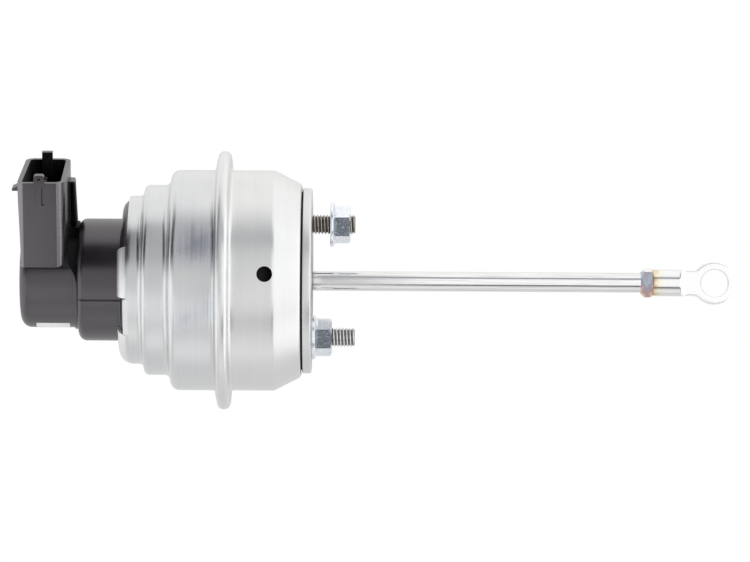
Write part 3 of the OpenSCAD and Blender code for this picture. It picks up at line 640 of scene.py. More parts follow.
RINGS_PER_PITCH = 14
rolled_thread = thread_tree()
stud_dark = thread_finish("stud_dark", (0.66, 0.62, 0.58), (0.17, 0.15, 0.135), 0.36)
stud_grey = thread_finish("stud_grey", (0.92, 0.92, 0.91), (0.30, 0.30, 0.30), 0.30)
for name, height, coat, slot in (
    ("upper_stud", STUD_Z, stud_dark, "stud_dark"), ("lower_stud", -STUD_Z, stud_grey, "stud_grey"),
):
    low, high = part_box(name)
    length = high.x - low.x
    rings = round(length / (THREAD_PITCH * MM) * RINGS_PER_PITCH)
    stud = grown(name + "_thread", rolled_thread, Radius=STUD_R * MM, Depth=THREAD_DEPTH * MM,
                 Pitch=THREAD_PITCH * MM, Length=length, Foot=low.x, Height=height * MM,
                 Point=STUD_POINT * MM, Rings=rings, Finish=coat)
    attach(stud, "can")
    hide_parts(name)

# Nuts: M6 hexagon nuts with a washer flange, cold forged and bluish zinc plated. The upper one is run out on
# its stud, the lower one sits on the plate, and the facet that faces the viewer is painted darker as painted
# shade.
NUT_AF, NUT_H = 10.0, 6.1
NUT_FLANGE_R, NUT_FLANGE_T = 6.8, 1.5
NUT_CORNER_R = NUT_AF / 2 / math.cos(math.pi / 6)
CROWN = math.tan(math.pi / 6)
FACET_FROM, FACET_SINK, FACET_HALF = 2.5, 0.6, 1.5


def skinned(name, sections, sharp=35):
    """A closed solid over a row of sections with equally many corners, and with a cap at each end."""
    bm = bmesh.new()
    rings = [[bm.verts.new(corner) for corner in section] for section in sections]
    bm.faces.new(rings[0])
    bm.faces.new(rings[-1])
    for ring, following in zip(rings, rings[1:]):
        for k, corner in enumerate(ring):
            n = (k + 1) % len(ring)
            bm.faces.new((corner, ring[n], following[n], following[k]))
    return object_of(name, bm, sharp)


def prism_x(name, sides, corner_r, x, length, turn, z):
    """A bar with flat sides along the rod's axis; at no turn a corner points up."""
    rise = Vector((0, 0, z * MM))
    angles = [turn + math.tau * k / sides for k in range(sides)]
    ends = [[around(end, corner_r, angle) + rise for angle in angles] for end in (x, x + length)]
    return skinned(name, ends)


def flange_nut(name, x, z, turn):
    """A forged flange nut seated at x on the stud at height z."""
    crown_r = NUT_CORNER_R + 1
    piece = prism_x(name, 6, NUT_CORNER_R, x + 0.2, NUT_H - 0.2, math.radians(turn), z)
    crown = turned("crown", rounded([
        (x, 0), (x, crown_r), (x + NUT_H - (crown_r - NUT_AF / 2) * CROWN, crown_r), (x + NUT_H, NUT_AF / 2),
        (x + NUT_H, 0),
    ]), 96, z)
    washer = turned("washer", rounded([
        (x, 0), (x, NUT_FLANGE_R, 0.3), (x + NUT_FLANGE_T * 0.6, NUT_FLANGE_R, 0.25),
        (x + NUT_FLANGE_T * 1.3, NUT_AF / 2), (x + NUT_FLANGE_T * 1.3, 0),
    ]), 96, z)
    bore = prism_x("bore", 72, STUD_R + 0.01, x - 1, NUT_H + 2, 0, z)
    combined(piece, "INTERSECT", crown)
    combined(piece, "UNION", washer)
    combined(piece, "DIFFERENCE", bore)
    return eased(piece, 0.14, 25)


def zinc_finish(name, dull, mid, bright):
    """Bluish zinc: small spangles that differ in brightness, and a pitted skin."""
    made, tree, shader = finish_of(name, mid, 1.0, 0.16)
    spot = spot_of(tree)
    spangle = node(tree, "ShaderNodeTexVoronoi", Vector=spot, Scale=3200.0).outputs["Color"]
    fleck = grain(tree, spot, 4200.0, 3.0)
    both = maths(tree, "MULTIPLY_ADD", node(tree, "ShaderNodeSeparateColor", i0=spangle).outputs[0], 0.5,
                 maths(tree, "MULTIPLY", fleck, 0.5))
    plug(tree, shader, "Base Color", ramp(tree, both, [(0.2, dull), (0.6, mid), (0.85, bright)]))
    embossed(tree, shader, fleck, 0.35, 0.03)
    return made


def facing_facet(x, z):
    """Tells the facet that faces the viewer by where its middle lies, on a nut at x, z."""
    return lambda p, _: (p.x > x + FACET_FROM and abs(p.y + NUT_AF / 2) < 0.2
                         and abs(p.z - z + FACET_SINK) < FACET_HALF)


nut_zinc = zinc_finish("nut_zinc", (0.72, 0.78, 0.86), (0.92, 0.95, 0.99), (1.0, 1.0, 1.0))
facet_shade_zinc = zinc_finish("facet_shade_zinc", (0.12, 0.135, 0.155), (0.185, 0.205, 0.235), (0.44, 0.48, 0.54))
UPPER_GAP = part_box("upper_nut")[0].x / MM
for name, x, z, turn in (("upper_nut", UPPER_GAP, STUD_Z, 8.6), ("lower_nut", 0.0, -STUD_Z, 5.3)):
    nut = flange_nut(name + "_forged", x, z, turn)
    nut.data.materials.append(nut_zinc)
    # Painted shade: a darker zinc on the facet that faces the viewer.
    shade_faces(nut, facet_shade_zinc, facing_facet(x, z))
    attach(nut, "can")
    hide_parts(name)

# Guide: a turned housing with a sintered ball bush in it, closed by a felt ring that wipes the rod. These
# and the pieces inside the can keep their exact CAD meshes.
def dress(name, material):
    """Puts a finish on a piece that keeps its mesh."""
    for slot in nodes[name].material_slots:
        slot.material = material


def plain_finish(name, colour, shade, metallic, roughness, scale, relief):
    """A finish with a grain of one size in its colour and its relief."""
    made, tree, shader = finish_of(name, colour, metallic, roughness)
    spot = spot_of(tree)
    fleck = grain(tree, spot, scale, 4.0)
    plug(tree, shader, "Base Color", ramp(tree, fleck, [(0.35, shade), (0.65, colour)]))
    plug(tree, shader, "Roughness", maths(tree, "MULTIPLY_ADD", fleck, 0.12, roughness - 0.06))
    embossed(tree, shader, fleck, relief, 0.05)
    return made


inner_steel = brushed("inner_steel", (0.66, 0.67, 0.68), (0.54, 0.55, 0.57), 0.36, 0.12, 0.3)
felt = plain_finish("felt", (0.32, 0.25, 0.18), (0.16, 0.12, 0.09), 0.0, 0.95, 2600.0, 1.0)
bronze = plain_finish("bronze", (0.62, 0.45, 0.25), (0.42, 0.29, 0.15), 1.0, 0.45, 3000.0, 0.4)
dress("guide_housing", inner_steel)
dress("dust_seal", felt)
dress("guide_bush", bronze)

# Rod: drawn bright steel. Its rear end is turned down and riveted over the piston's stack, and its front end
# takes the lock nut and the rod end.
ROD_R = 3.0
low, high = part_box("rod")
ROD_BACK, ROD_FRONT = low.x / MM, high.x / MM
RIVET_T, RIVET_R, SPIGOT_R = 1.5, 3.6, 2.0
RETAINER_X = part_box("diaphragm_retainer")[0].x / MM + 1.0


def drawn_finish():
    """Drawn bar: lines that run along the rod, and a few small nicks."""
    bright, dull = (0.86, 0.86, 0.86), (0.70, 0.69, 0.69)
    made, tree, shader = finish_of("rod_steel", bright, 1.0, 0.12)
    spot = spot_of(tree)
    stretched = node(tree, "ShaderNodeMapping", Vector=spot, Scale=(0.02, 1.0, 1.0)).outputs[0]
    line = grain(tree, stretched, 3500.0, 3.0)
    patch = grain(tree, spot, 120.0, 3.0)
    plug(tree, shader, "Base Color", ramp(tree, line, [(0.30, dull), (0.55, bright)]))
    plug(tree, shader, "Roughness", maths(tree, "MULTIPLY_ADD", patch, 0.12, 0.10))
    embossed(tree, shader, line, 0.25, 0.01)
    return made


rod_steel = drawn_finish()
rod = turned("push_rod", rounded([
    (ROD_BACK, 0), (ROD_BACK, RIVET_R - 0.9, 0.9), (ROD_BACK + RIVET_T, RIVET_R),
    (ROD_BACK + RIVET_T, SPIGOT_R), (RETAINER_X, SPIGOT_R), (RETAINER_X, ROD_R, 0.3),
    (ROD_FRONT, ROD_R, 0.3), (ROD_FRONT, 0),
]), 96)
rod.data.materials.append(rod_steel)
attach(rod, "rod")
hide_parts("rod")

# Lock nut: a thin hexagon nut of plain steel, turned up against the rod end and welded to the rod, which has
# left it with the colours of the heat. Its top faces are painted near white as a painted highlight.
low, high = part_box("lock_nut")
LOCK_X, LOCK_END = low.x / MM, high.x / MM
LOCK_AF, LOCK_TURN = 8.0, 44.0
LOCK_REAR_CHAMFER, LOCK_CHAMFER = 1.2, 0.5
LOCK_R = LOCK_AF / 2 / math.cos(math.pi / 6)
WELD_X, HEAT_REACH = LOCK_X + 1.6, 9.0
HIGHLIGHT_Z = 3.25
TINTS = [
    (0.00, (0.86, 0.86, 0.86)), (0.20, (0.88, 0.85, 0.74)), (0.36, (0.80, 0.70, 0.50)),
    (0.48, (0.64, 0.42, 0.31)), (0.58, (0.48, 0.33, 0.36)), (0.70, (0.40, 0.38, 0.46)),
    (0.84, (0.50, 0.57, 0.60)), (1.00, (0.47, 0.45, 0.52)),
]


def tinted(name, centre, roughness, level, rise=0.0):
    """Steel coloured by heat: the tint deepens towards the weld at centre and upwards, broken up by noise."""
    made, tree, shader = finish_of(name, TINTS[0][1], 1.0, roughness)
    spot = spot_of(tree)
    x, _, z = node(tree, "ShaderNodeSeparateXYZ", i0=spot).outputs
    away = maths(tree, "ABSOLUTE", maths(tree, "SUBTRACT", x, centre * MM))
    heat = maths(tree, "SUBTRACT", level, maths(tree, "DIVIDE", away, HEAT_REACH * MM))
    heat = maths(tree, "MULTIPLY_ADD", z, rise / MM, heat)
    uneven = maths(tree, "MULTIPLY_ADD", grain(tree, spot, 420.0, 3.0), 0.7, -0.35)
    plug(tree, shader, "Base Color", ramp(tree, maths(tree, "ADD", heat, uneven, clamp=True), TINTS))
    fine = grain(tree, spot, 1800.0, 3.0)
    embossed(tree, shader, fine, 0.3, 0.03)
    return made


lock_nut = prism_x("jam_nut", 6, LOCK_R, LOCK_X, LOCK_END - LOCK_X, math.radians(LOCK_TURN), 0)
combined(lock_nut, "INTERSECT", turned("lock_chamfer", rounded([
    (LOCK_X, ROD_R), (LOCK_X, LOCK_R - LOCK_REAR_CHAMFER - 0.05), (LOCK_X + LOCK_REAR_CHAMFER, LOCK_R),
    (LOCK_END - LOCK_CHAMFER, LOCK_R), (LOCK_END, LOCK_R - LOCK_CHAMFER), (LOCK_END, ROD_R),
]), 96))
eased(lock_nut, 0.15, 25)
lock_nut.data.materials.append(tinted("tinted_nut", WELD_X, 0.30, level=0.84, rise=0.085))
# Painted highlight: a near white finish on the top faces.
shade_faces(lock_nut, finish_of("lock_top_painted_highlight", (0.97, 0.97, 0.96), 0.4, 0.4)[0], lambda p, _: p.z > HIGHLIGHT_Z)
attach(lock_nut, "rod")
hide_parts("lock_nut")

# Rod end: a round steel shank over the end of the rod, whose front is pressed flat into an eye and bored for
# the lever's pin. The colours of the weld run out along the shank.
low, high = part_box("rod_end")
SHANK_X, SHANK_R, SHANK_LEN = low.x / MM, 4.05, 8.5
EYE_R = high.z / MM
EYE_X = high.x / MM - EYE_R
EYE_T, EYE_HOLE_R, NECK_HALF = 3.6, 4.15, 3.9
FLAT_X = SHANK_X + SHANK_LEN
PRESS_LEN = 1.9
RING_POINTS = 96
CIRCLE = [math.tau * k / RING_POINTS for k in range(RING_POINTS)]
SHANK_LIP = 0.3


def eased_step(t):
    """A soft step from 0 to 1 while t goes from 0 to 1."""
    t = max(0.0, min(1.0, t))
    return t * t * (3 - 2 * t)


def rod_end_width(x):
    """Half width of the rod end across the rod, seen by the viewer."""
    reach = math.sqrt(max(0.0, EYE_R ** 2 - (x - EYE_X) ** 2))
    if x >= EYE_X:
        return reach
    neck = SHANK_R + (NECK_HALF - SHANK_R) * eased_step((x - FLAT_X) / PRESS_LEN)
    soft = 0.7 * eased_step((EYE_X - x) / 4)
    return (neck + reach + math.sqrt((reach - neck) ** 2 + soft ** 2)) / 2 if x > FLAT_X else neck


def rod_end_stations():
    """Places along the rod end, closer at its ends and where its shape turns."""
    first = [SHANK_X, SHANK_X + 0.1, SHANK_X + 0.25, SHANK_X + 0.5]
    shank = [SHANK_X + 0.5 + k * (SHANK_LEN - 1) / 10 for k in range(1, 11)]
    press = [FLAT_X - 0.5 + (PRESS_LEN + 0.8) * k / 16 for k in range(1, 17)]
    neck = [press[-1] + (EYE_X - press[-1]) * k / 22 for k in range(1, 23)]
    eye = [EYE_X + EYE_R * math.sin(math.pi / 2 * k / 26) for k in range(1, 26)]
    return first + shank + press + neck + eye


def rod_end_section(x):
    """The rod end's outline at x: round in the shank, and nearly a rectangle in the eye."""
    flat = eased_step((x - FLAT_X + 0.3) / PRESS_LEN)
    lip = SHANK_LIP * (1 - math.sqrt(1 - max(0.0, 1 - (x - SHANK_X) / SHANK_LIP) ** 2))
    wide = rod_end_width(x) - lip
    thick = SHANK_R + (EYE_T / 2 - SHANK_R) * flat - lip
    power = 2 / (2 + 6 * flat)
    section = []
    for angle in CIRCLE:
        c, s = math.cos(angle), math.sin(angle)
        y = math.copysign(abs(c) ** power, c) * thick
        z = math.copysign(abs(s) ** power, s) * wide
        section.append(Vector((x, y, z)) * MM)
    return section


def spool(name, x, radius, half):
    """A cutter for the eye's hole, wider at both mouths."""
    profile = [(-half - 0.6, radius + 0.7), (-half + 0.25, radius + 0.12), (-half + 0.6, radius),
               (half - 0.6, radius), (half - 0.25, radius + 0.12), (half + 0.6, radius + 0.7)]
    rings = [[Vector((x + r * math.cos(angle), y, r * math.sin(angle))) * MM for angle in CIRCLE]
             for y, r in profile]
    return skinned(name, rings)


rod_end = skinned("eye_end", [rod_end_section(x) for x in rod_end_stations()], 40)
combined(rod_end, "DIFFERENCE", spool("eye_cut", EYE_X, EYE_HOLE_R, EYE_T / 2))
rod_end.data.materials.append(tinted("eye_steel", SHANK_X - 0.6, 0.20, level=0.50))
# Painted highlight: the flat eye gets a near white finish, standing in for the glare on it.
shade_faces(rod_end, finish_of("eye_painted_highlight", (1.0, 1.0, 1.0), 0.86, 0.36)[0], lambda p, _: p.x > FLAT_X + 0.4)
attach(rod_end, "rod")
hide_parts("rod_end")

# Sensor barrel: moulded in black glass-filled nylon. Its flange sits on an O-ring in the can's neck, held by
# the folded tabs, and the line where the mould parts runs along it.
low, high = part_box("sensor_barrel")
SEAT_X, BARREL_END = high.x / MM, low.x / MM + 1.5
BARREL_R = 18.6
WALL = 2.5
TUBE_R, TUBE_T = 5.05, 2.0
FLANGE_OUT = NECK_R - SHEET - PLAY
FLANGE_BACK = FOLD_X + SHEET
PARTING, PARTING_DEPTH, PARTING_HALF = math.radians(110.2), 0.25, math.radians(0.6)
groove_low, groove_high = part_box("flange_seal")
CAVITY_R = 12.1


def moulded(name, colour, shade, roughness, ior=2.0):
    """Satin black nylon: a fine spark-eroded grain, with faint cloudy changes of sheen."""
    made, tree, shader = finish_of(name, colour, 0.0, roughness)
    spot = spot_of(tree)
    fine = grain(tree, spot, 2600.0, 3.0)
    cloud = grain(tree, spot, 90.0, 2.0)
    plug(tree, shader, "Base Color", ramp(tree, cloud, [(0.35, shade), (0.65, colour)]))
    clouded = maths(tree, "MULTIPLY_ADD", cloud, 0.10, roughness - 0.12)
    plug(tree, shader, "Roughness", maths(tree, "MULTIPLY_ADD", fine, 0.14, clouded))
    embossed(tree, shader, fine, 0.25, 0.03)
    plug(tree, shader, "IOR", ior)
    plug(tree, shader, "Specular Tint", (1.0, 0.95, 1.0, 1))
    return made


def parting_line(angle):
    """Depth of the groove at the mould's parting line, at an angle round the barrel."""
    off = min(abs((angle - PARTING + math.pi * side + math.pi) % math.tau - math.pi) for side in (0, 1))
    return -PARTING_DEPTH if off < PARTING_HALF else 0.0


SEAL_FRONT, SEAL_BACK = groove_high.x / MM + PLAY, groove_low.x / MM - PLAY
SEAL_BED_R = NECK_R - SHEET - 1.8
SPIGOT_OUT, SPIGOT_IN, SPIGOT_END = CAVITY_R - PLAY, CAVITY_R - PLAY - 1.2, BARREL_END - 1.5
barrel_outline = rounded([
    (BARREL_END, TUBE_R), (SEAT_X - 3, TUBE_R), (SEAT_X - 3, TUBE_R + TUBE_T),
    (BARREL_END + WALL, TUBE_R + TUBE_T, 1), (BARREL_END + WALL, BARREL_R - WALL, 1),
    (SEAT_X, BARREL_R - WALL), (SEAT_X, FLANGE_OUT, 0.3), (SEAL_FRONT, FLANGE_OUT), (SEAL_FRONT, SEAL_BED_R),
    (SEAL_BACK, SEAL_BED_R), (SEAL_BACK, FLANGE_OUT), (FLANGE_BACK, FLANGE_OUT, 3.2),
    (FLANGE_BACK, BARREL_R, 0.8), (BARREL_END, BARREL_R, 2.4), (BARREL_END, SPIGOT_OUT),
    (SPIGOT_END, SPIGOT_OUT), (SPIGOT_END, SPIGOT_IN), (BARREL_END, SPIGOT_IN),
])
barrel = turned("sensor_housing", barrel_outline, 360, 0.0, parting_line)
barrel_plastic = moulded("barrel_plastic", (0.015, 0.011, 0.018), (0.009, 0.007, 0.012), 0.30)
barrel.data.materials.append(barrel_plastic)
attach(barrel, "can")
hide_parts("sensor_barrel")

# Sensor cap: moulded in one piece with the plug socket and welded to the barrel. The socket has a latch
# ramp behind, two coding keys across, and a rib that braces it to the barrel.
CAP_R = 14.6
CAP_END = BARREL_END - 17.8
CROWN_H = 0.4
SOCKET_X = CAP_END + 0.1
SOCKET_W, SOCKET_L, SOCKET_H = 14.5, 28.0, 34.1
SOCKET_BACK, SOCKET_SKEW = 15.2, 0.9
SOCKET_T, SOCKET_DEPTH, SOCKET_FOOT = 1.4, 18.1, 7.8
SOCKET_RIGHT = SOCKET_X + SOCKET_W
SOCKET_MID = CAP_END + 7.5
SOCKET_FLOOR = SOCKET_H - SOCKET_DEPTH
KEY_X, KEY_H, KEY_W, KEY_T = SOCKET_MID - 0.7, 2.6, 3.2, 0.9
KEY_FACE = -SOCKET_L / 2 - KEY_T
STEM_W, STEM_LEN = 2.0, 6.9
RAMP_OUT, RAMP_HALF = 2.45, 2.0
RIB_W, RIB_Y = 5.0, 5.0
RIB_TOP, RIB_SHELF = SOCKET_H - 3.9, CAP_R + 1.9
CORE_TOP, CORE_FOOT = SOCKET_H - 4.5, CAP_R + 1.0
WEB_FOOT = math.radians(61)


def extruded(name, outline, start, stop, axis):
    """A prism of a rounded outline in the other two axes, between two places along X, Y or Z."""
    ends = []
    for place in (start, stop):
        corners = [[p.x, p.y] for p in rounded(outline)]
        for corner in corners:
            corner.insert("XYZ".index(axis), place)
        ends.append([Vector(corner) * MM for corner in corners])
    return skinned(name, ends)


def plan(inset, rear_corner, front_corner):
    """The socket's outline seen from its open end."""
    left, right = SOCKET_X + inset, SOCKET_RIGHT - inset
    near, far = inset - SOCKET_L / 2, SOCKET_BACK - inset
    return [(left, near, rear_corner), (right, near, front_corner), (right, far, front_corner - 0.6),
            (left + SOCKET_SKEW, far, rear_corner + 0.6)]


def block(name, low_corner, high_corner):
    """A box between two corners, for a key or a slot."""
    (x0, y0, z0), (x1, y1, z1) = low_corner, high_corner
    return extruded(name, [(x0, y0), (x1, y0), (x1, y1), (x0, y1)], z0, z1, "Z")


def socket_body():
    """The socket's outer form, rounded at its foot towards the barrel."""
    body = extruded("socket", plan(0, 2.2, 3.3), SOCKET_FOOT, SOCKET_H, "Z")
    side = extruded("socket_side", [
        (SOCKET_X + 1, SOCKET_FOOT, 0.6), (SOCKET_X, SOCKET_H), (SOCKET_X, SOCKET_H + 1),
        (SOCKET_RIGHT, SOCKET_H + 1), (SOCKET_RIGHT, SOCKET_FOOT, 3.3),
    ], -SOCKET_L / 2 - 1, SOCKET_BACK + 1, "Y")
    return combined(body, "INTERSECT", side)


def socket_details():
    """The ramp, the rib with its web, and the near key with its stem, on the socket's outside."""
    root = SOCKET_X + SOCKET_T
    brace = SOCKET_RIGHT - SOCKET_T
    foot = CAP_R / 2
    ramp_top, ramp_foot = SOCKET_H - 3.8, SOCKET_H - 5.7
    yield extruded("ramp", [
        (root, ramp_top), (SOCKET_X, ramp_top), (SOCKET_X - RAMP_OUT, ramp_foot + 0.7, 0.3),
        (SOCKET_X - RAMP_OUT, ramp_foot, 0.3), (root, ramp_foot),
    ], -RAMP_HALF, RAMP_HALF, "Y")
    yield extruded("rib", [
        (brace, RIB_TOP), (SOCKET_RIGHT + 1.8, RIB_TOP, 0.4), (SOCKET_RIGHT + 2.4, RIB_SHELF),
        (BARREL_END, RIB_SHELF, 0.4), (BARREL_END, foot), (brace, foot),
    ], RIB_Y - RIB_W / 2, RIB_Y + RIB_W / 2, "Y")
    sine, cosine = math.sin(WEB_FOOT), math.cos(WEB_FOOT)
    yield extruded("web", [
        (RIB_Y - RIB_W / 2, RIB_SHELF), (-CAP_R * sine, CAP_R * cosine),
        (-CAVITY_R * sine, CAVITY_R * cosine), (RIB_Y, foot), (RIB_Y, RIB_SHELF),
    ], brace, BARREL_END, "X")
    wall = -SOCKET_L / 2 + SOCKET_T
    yield extruded("key", [
        (KEY_X - KEY_W / 2, SOCKET_H - SOCKET_T / 2), (KEY_X + KEY_W / 2, SOCKET_H - SOCKET_T / 2),
        (KEY_X + KEY_W / 2, SOCKET_H + KEY_H, 0.8), (KEY_X - KEY_W / 2, SOCKET_H + KEY_H, 0.8),
    ], KEY_FACE, wall, "Y")
    yield block("stem", (KEY_X - STEM_W / 2, KEY_FACE, SOCKET_H - STEM_LEN),
                (KEY_X + STEM_W / 2, wall, SOCKET_H))


def key_cuts():
    """The cutters for the dimple in the near key's head and for the grooves at both sides of its stem."""
    yield block("dimple", (KEY_X - 0.45, KEY_FACE - 1, SOCKET_H + KEY_H - 1.5),
                (KEY_X + 0.45, KEY_FACE + 0.7, SOCKET_H + KEY_H - 0.6))
    for side, reach, depth in ((-1, 0.10, 0.15), (1, 0.35, 0.60)):
        middle = KEY_X + side * STEM_W / 2
        yield block("groove", (middle - reach, KEY_FACE - 1, SOCKET_H - STEM_LEN),
                    (middle + reach, -SOCKET_L / 2 + depth, SOCKET_H - 1.2))


# The bed of the hollow: degrees from the top towards the viewer, and millimetres beyond the cap's radius
RECESS_BED = [
    (82, 0.7), (76, 0.0), (68, -0.6), (60, -1.1), (50, -1.5), (38, -1.7), (20, -1.7), (0, -1.7), (-9, -1.7),
]


def recess():
    """The cutter for the hollow below the rib, between socket and barrel, narrower on the viewer's side."""
    line = []
    for degrees, beyond in RECESS_BED:
        angle = math.radians(degrees)
        line.append((-(CAP_R + beyond) * math.sin(angle), (CAP_R + beyond) * math.cos(angle)))
    roof = CAP_R + 1.3
    line += [(RIB_Y - 1, roof), (-CAP_R - 0.7, roof)]
    cutter = extruded("recess", line, SOCKET_RIGHT, BARREL_END + 1, "X")
    for corner in cutter.data.vertices:
        turn = math.degrees(math.atan2(-corner.co.y, corner.co.z))
        if corner.co.x < (BARREL_END - 1) * MM:
            corner.co.x += 3.2 * MM * eased_step((turn - 48) / 34)
    return cutter


def rib_pocket():
    """The cutter that cores the rib out from the viewer's side."""
    return extruded("rib_pocket", [
        (SOCKET_RIGHT + 0.5, CORE_FOOT), (SOCKET_RIGHT + 0.5, CORE_TOP),
        (SOCKET_RIGHT + 1.3, CORE_TOP), (SOCKET_RIGHT + 1.9, CORE_FOOT),
    ], RIB_Y - RIB_W / 2 - 1, RIB_Y + RIB_W / 2 - 0.8, "Y")


def socket_mouth():
    """The cutter for the socket's pocket, which leaves the back key standing."""
    pocket = extruded("pocket", plan(SOCKET_T, 0.9, 2.0), SOCKET_FLOOR, SOCKET_H + 5, "Z")
    key = block("back_key", (SOCKET_MID - KEY_W / 2, SOCKET_BACK - 2 * SOCKET_T, SOCKET_FLOOR - 1),
                (SOCKET_MID + KEY_W / 2, SOCKET_BACK, SOCKET_H + 6))
    return combined(pocket, "DIFFERENCE", key)


cap = turned("plug_cap", rounded([
    (BARREL_END, 0), (BARREL_END, CAP_R + 0.5), (BARREL_END - 1.3, CAP_R + 0.5, 0.4),
    (BARREL_END - 1.3, CAP_R), (CAP_END + CROWN_H, CAP_R, 3.2), (CAP_END, CAP_R / 2, 8), (CAP_END, 0),
]), 128)
combined(cap, "UNION", socket_body(), *socket_details())
combined(cap, "UNION", block("back_nub", (SOCKET_MID - KEY_W / 2, SOCKET_BACK - 2 * SOCKET_T, SOCKET_FLOOR),
                             (SOCKET_MID + KEY_W / 2, SOCKET_BACK - SOCKET_T / 2, SOCKET_H + KEY_H)))
combined(cap, "DIFFERENCE", socket_mouth(), recess(), rib_pocket(), *key_cuts())
combined(cap, "DIFFERENCE", turned("cavity", rounded([
    (CAP_END + WALL, 0), (CAP_END + WALL, CAVITY_R), (BARREL_END + 1, CAVITY_R), (BARREL_END + 1, 0),
]), 128))
SLOT_FOOT, SLOT_TOP = 7.0, SOCKET_FLOOR + 0.5
PIN_PITCH, BLADE_W, BLADE_T, PINS = 3.4, 2.0, 0.6, 5
for pin in range(PINS):
    y = (pin - (PINS - 1) / 2) * PIN_PITCH
    combined(cap, "DIFFERENCE", block("slot", (SOCKET_MID - BLADE_T / 2, y - BLADE_W / 2, SLOT_FOOT),
                                      (SOCKET_MID + BLADE_T / 2, y + BLADE_W / 2, SLOT_TOP)))


def inside(p, _):
    """Whether a place is within the pocket, the rib's core or the hollow below it."""
    wall = SOCKET_T - 0.05
    pocket = (SOCKET_X + wall < p.x < SOCKET_RIGHT - wall and wall - SOCKET_L / 2 < p.y < SOCKET_BACK - wall
              and SOCKET_FLOOR - 0.1 < p.z < SOCKET_H - 0.3)
    between = SOCKET_RIGHT + 0.01 < p.x < BARREL_END - 0.01 and p.y < RIB_Y + RIB_W / 2 - 0.5
    away = math.hypot(p.y, p.z)
    hollow = between and p.z > 4 and away < CAP_R + 1.4 and (away < CAP_R - 0.1 or p.y > -CAP_R / 2)
    return pocket or hollow or (between and CORE_FOOT < p.z < CORE_TOP + 0.1)


def highlight_corner(p, normal):
    """Whether a face is on one of the socket's upright corners on the viewer's side, which get a painted
    highlight.
    """
    upright = p.y < -SOCKET_L / 2 + 3.4 and abs(normal.x) > 0.25 and abs(normal.z) < 0.5
    beside_face = SOCKET_X - 0.8 < p.x < SOCKET_RIGHT + 0.1 and p.z > CAP_R / 2
    return upright and beside_face and not inside(p, normal)


cap.data.materials.append(moulded("socket_plastic", (0.022, 0.018, 0.027), (0.015, 0.012, 0.019), 0.32))
# Painted shade: the pocket, the rib's core and the hollow below it are near black, deeper than the lighting
# makes them.
shade_faces(cap, finish_of("socket_painted_shade", (0.004, 0.004, 0.004), 0.0, 0.7)[0], inside)
# Painted highlight: a lighter, glossier copy of the socket plastic on the upright corners.
socket_edge_painted_highlight = moulded("socket_edge_painted_highlight", (0.030, 0.028, 0.033), (0.022, 0.020, 0.024), 0.24, ior=3.0)
shade_faces(cap, socket_edge_painted_highlight, highlight_corner)
cap.data.transform(Matrix.Rotation(CONNECTOR_TURN, 4, "X"))
eased(cap, 0.26, 35)
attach(cap, "can")
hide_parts("sensor_cap")

# Label: a blank sticker of white film, glued round the underside of the cap. It is as thin as paper and
# stands proud of the moulding by no more than that.
LABEL_X0, LABEL_X1, LABEL_T = -83.6, -73.4, 0.08
LABEL_START, LABEL_STOP = math.radians(155.2), math.radians(215)


def wrapped(name, x0, x1, r, thickness, start, stop, steps=48):
    """A thin sheet bent round the rod's axis, between two angles."""
    corners = ((x0, r), (x1, r), (x1, r + thickness), (x0, r + thickness))
    angles = [start + (stop - start) * k / steps for k in range(steps + 1)]
    return skinned(name, [[around(x, radius, angle) for x, radius in corners] for angle in angles])


label = wrapped("blank_label", LABEL_X0, LABEL_X1, CAP_R + 0.01, LABEL_T, LABEL_START, LABEL_STOP)
paper, paper_tree, paper_shader = finish_of("label_film", (0.90, 0.90, 0.90), 0.0, 0.35)
fibre = grain(paper_tree, spot_of(paper_tree), 700.0, 3.0)
whites = ramp(paper_tree, fibre, [(0.3, (0.95, 0.95, 0.96)), (0.7, (1.0, 1.0, 1.0))])
plug(paper_tree, paper_shader, "Base Color", whites)
label.data.materials.append(paper)
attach(label, "can")

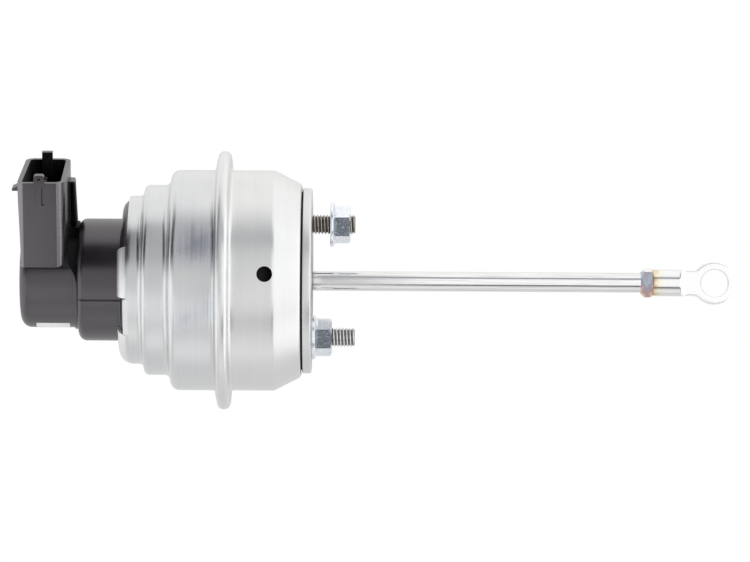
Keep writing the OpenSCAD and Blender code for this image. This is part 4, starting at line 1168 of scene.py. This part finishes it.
# Vacuum nipple: a steel tube with a turned foot, brazed to the far side of the rear shell. The engine's
# vacuum hose is pushed over it.
low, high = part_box("vacuum_nipple")
NIPPLE_X = (low.x + high.x) / 2 / MM
NIPPLE_TIP = high.y / MM
NIPPLE_R, NIPPLE_BORE = 2.5, 1.5
nipple = turned("hose_tube", rounded([
    (REAR_R - SHEET, NIPPLE_BORE), (REAR_R - SHEET, NIPPLE_R + 2), (REAR_R + 0.8, NIPPLE_R + 2, 0.6),
    (REAR_R + 2, NIPPLE_R + 1, 0.6), (REAR_R + 2, NIPPLE_R, 0.4), (NIPPLE_TIP - 0.5, NIPPLE_R),
    (NIPPLE_TIP, NIPPLE_R - 0.5), (NIPPLE_TIP, NIPPLE_BORE),
]), 96)
nipple.data.transform(Matrix.Translation((NIPPLE_X * MM, 0, 0)) @ Matrix.Rotation(math.pi / 2, 4, "Z"))
nipple.data.materials.append(inner_steel)
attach(nipple, "can")
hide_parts("vacuum_nipple")

# Inside the can: the piston's stack with its diaphragm, the return spring and its seat, and the sensor's
# seal, board, terminals and sprung plunger. They keep their exact meshes.
spring_steel = plain_finish("spring_steel", (0.42, 0.44, 0.47), (0.30, 0.31, 0.34), 1.0, 0.34, 1200.0, 0.2)
diaphragm_rubber = plain_finish(
    "diaphragm_rubber", (0.050, 0.048, 0.046), (0.028, 0.027, 0.026), 0.0, 0.7, 2400.0, 0.6)
seal_rubber = plain_finish("seal_rubber", (0.035, 0.035, 0.035), (0.022, 0.022, 0.022), 0.0, 0.5, 900.0, 0.2)
acetal = plain_finish("acetal", (0.80, 0.78, 0.72), (0.74, 0.72, 0.65), 0.0, 0.38, 300.0, 0.1)
sintered = plain_finish("sintered_magnet", (0.22, 0.22, 0.24), (0.15, 0.15, 0.16), 1.0, 0.5, 3000.0, 0.5)
solder_mask = plain_finish("solder_mask", (0.03, 0.17, 0.07), (0.02, 0.12, 0.05), 0.0, 0.3, 700.0, 0.1)
plated = plain_finish("plated_contact", (0.62, 0.60, 0.56), (0.50, 0.48, 0.45), 1.0, 0.30, 900.0, 0.1)
for name, material in {
    "piston": inner_steel, "diaphragm": diaphragm_rubber, "diaphragm_retainer": inner_steel,
    "stop_washer": inner_steel, "return_spring": spring_steel, "spring_seat": inner_steel,
    "flange_seal": seal_rubber, "sensor_board": solder_mask, "connector_terminals": plated,
    "sensor_plunger": acetal, "sensor_magnet": sintered, "plunger_spring": spring_steel,
}.items():
    dress(name, material)
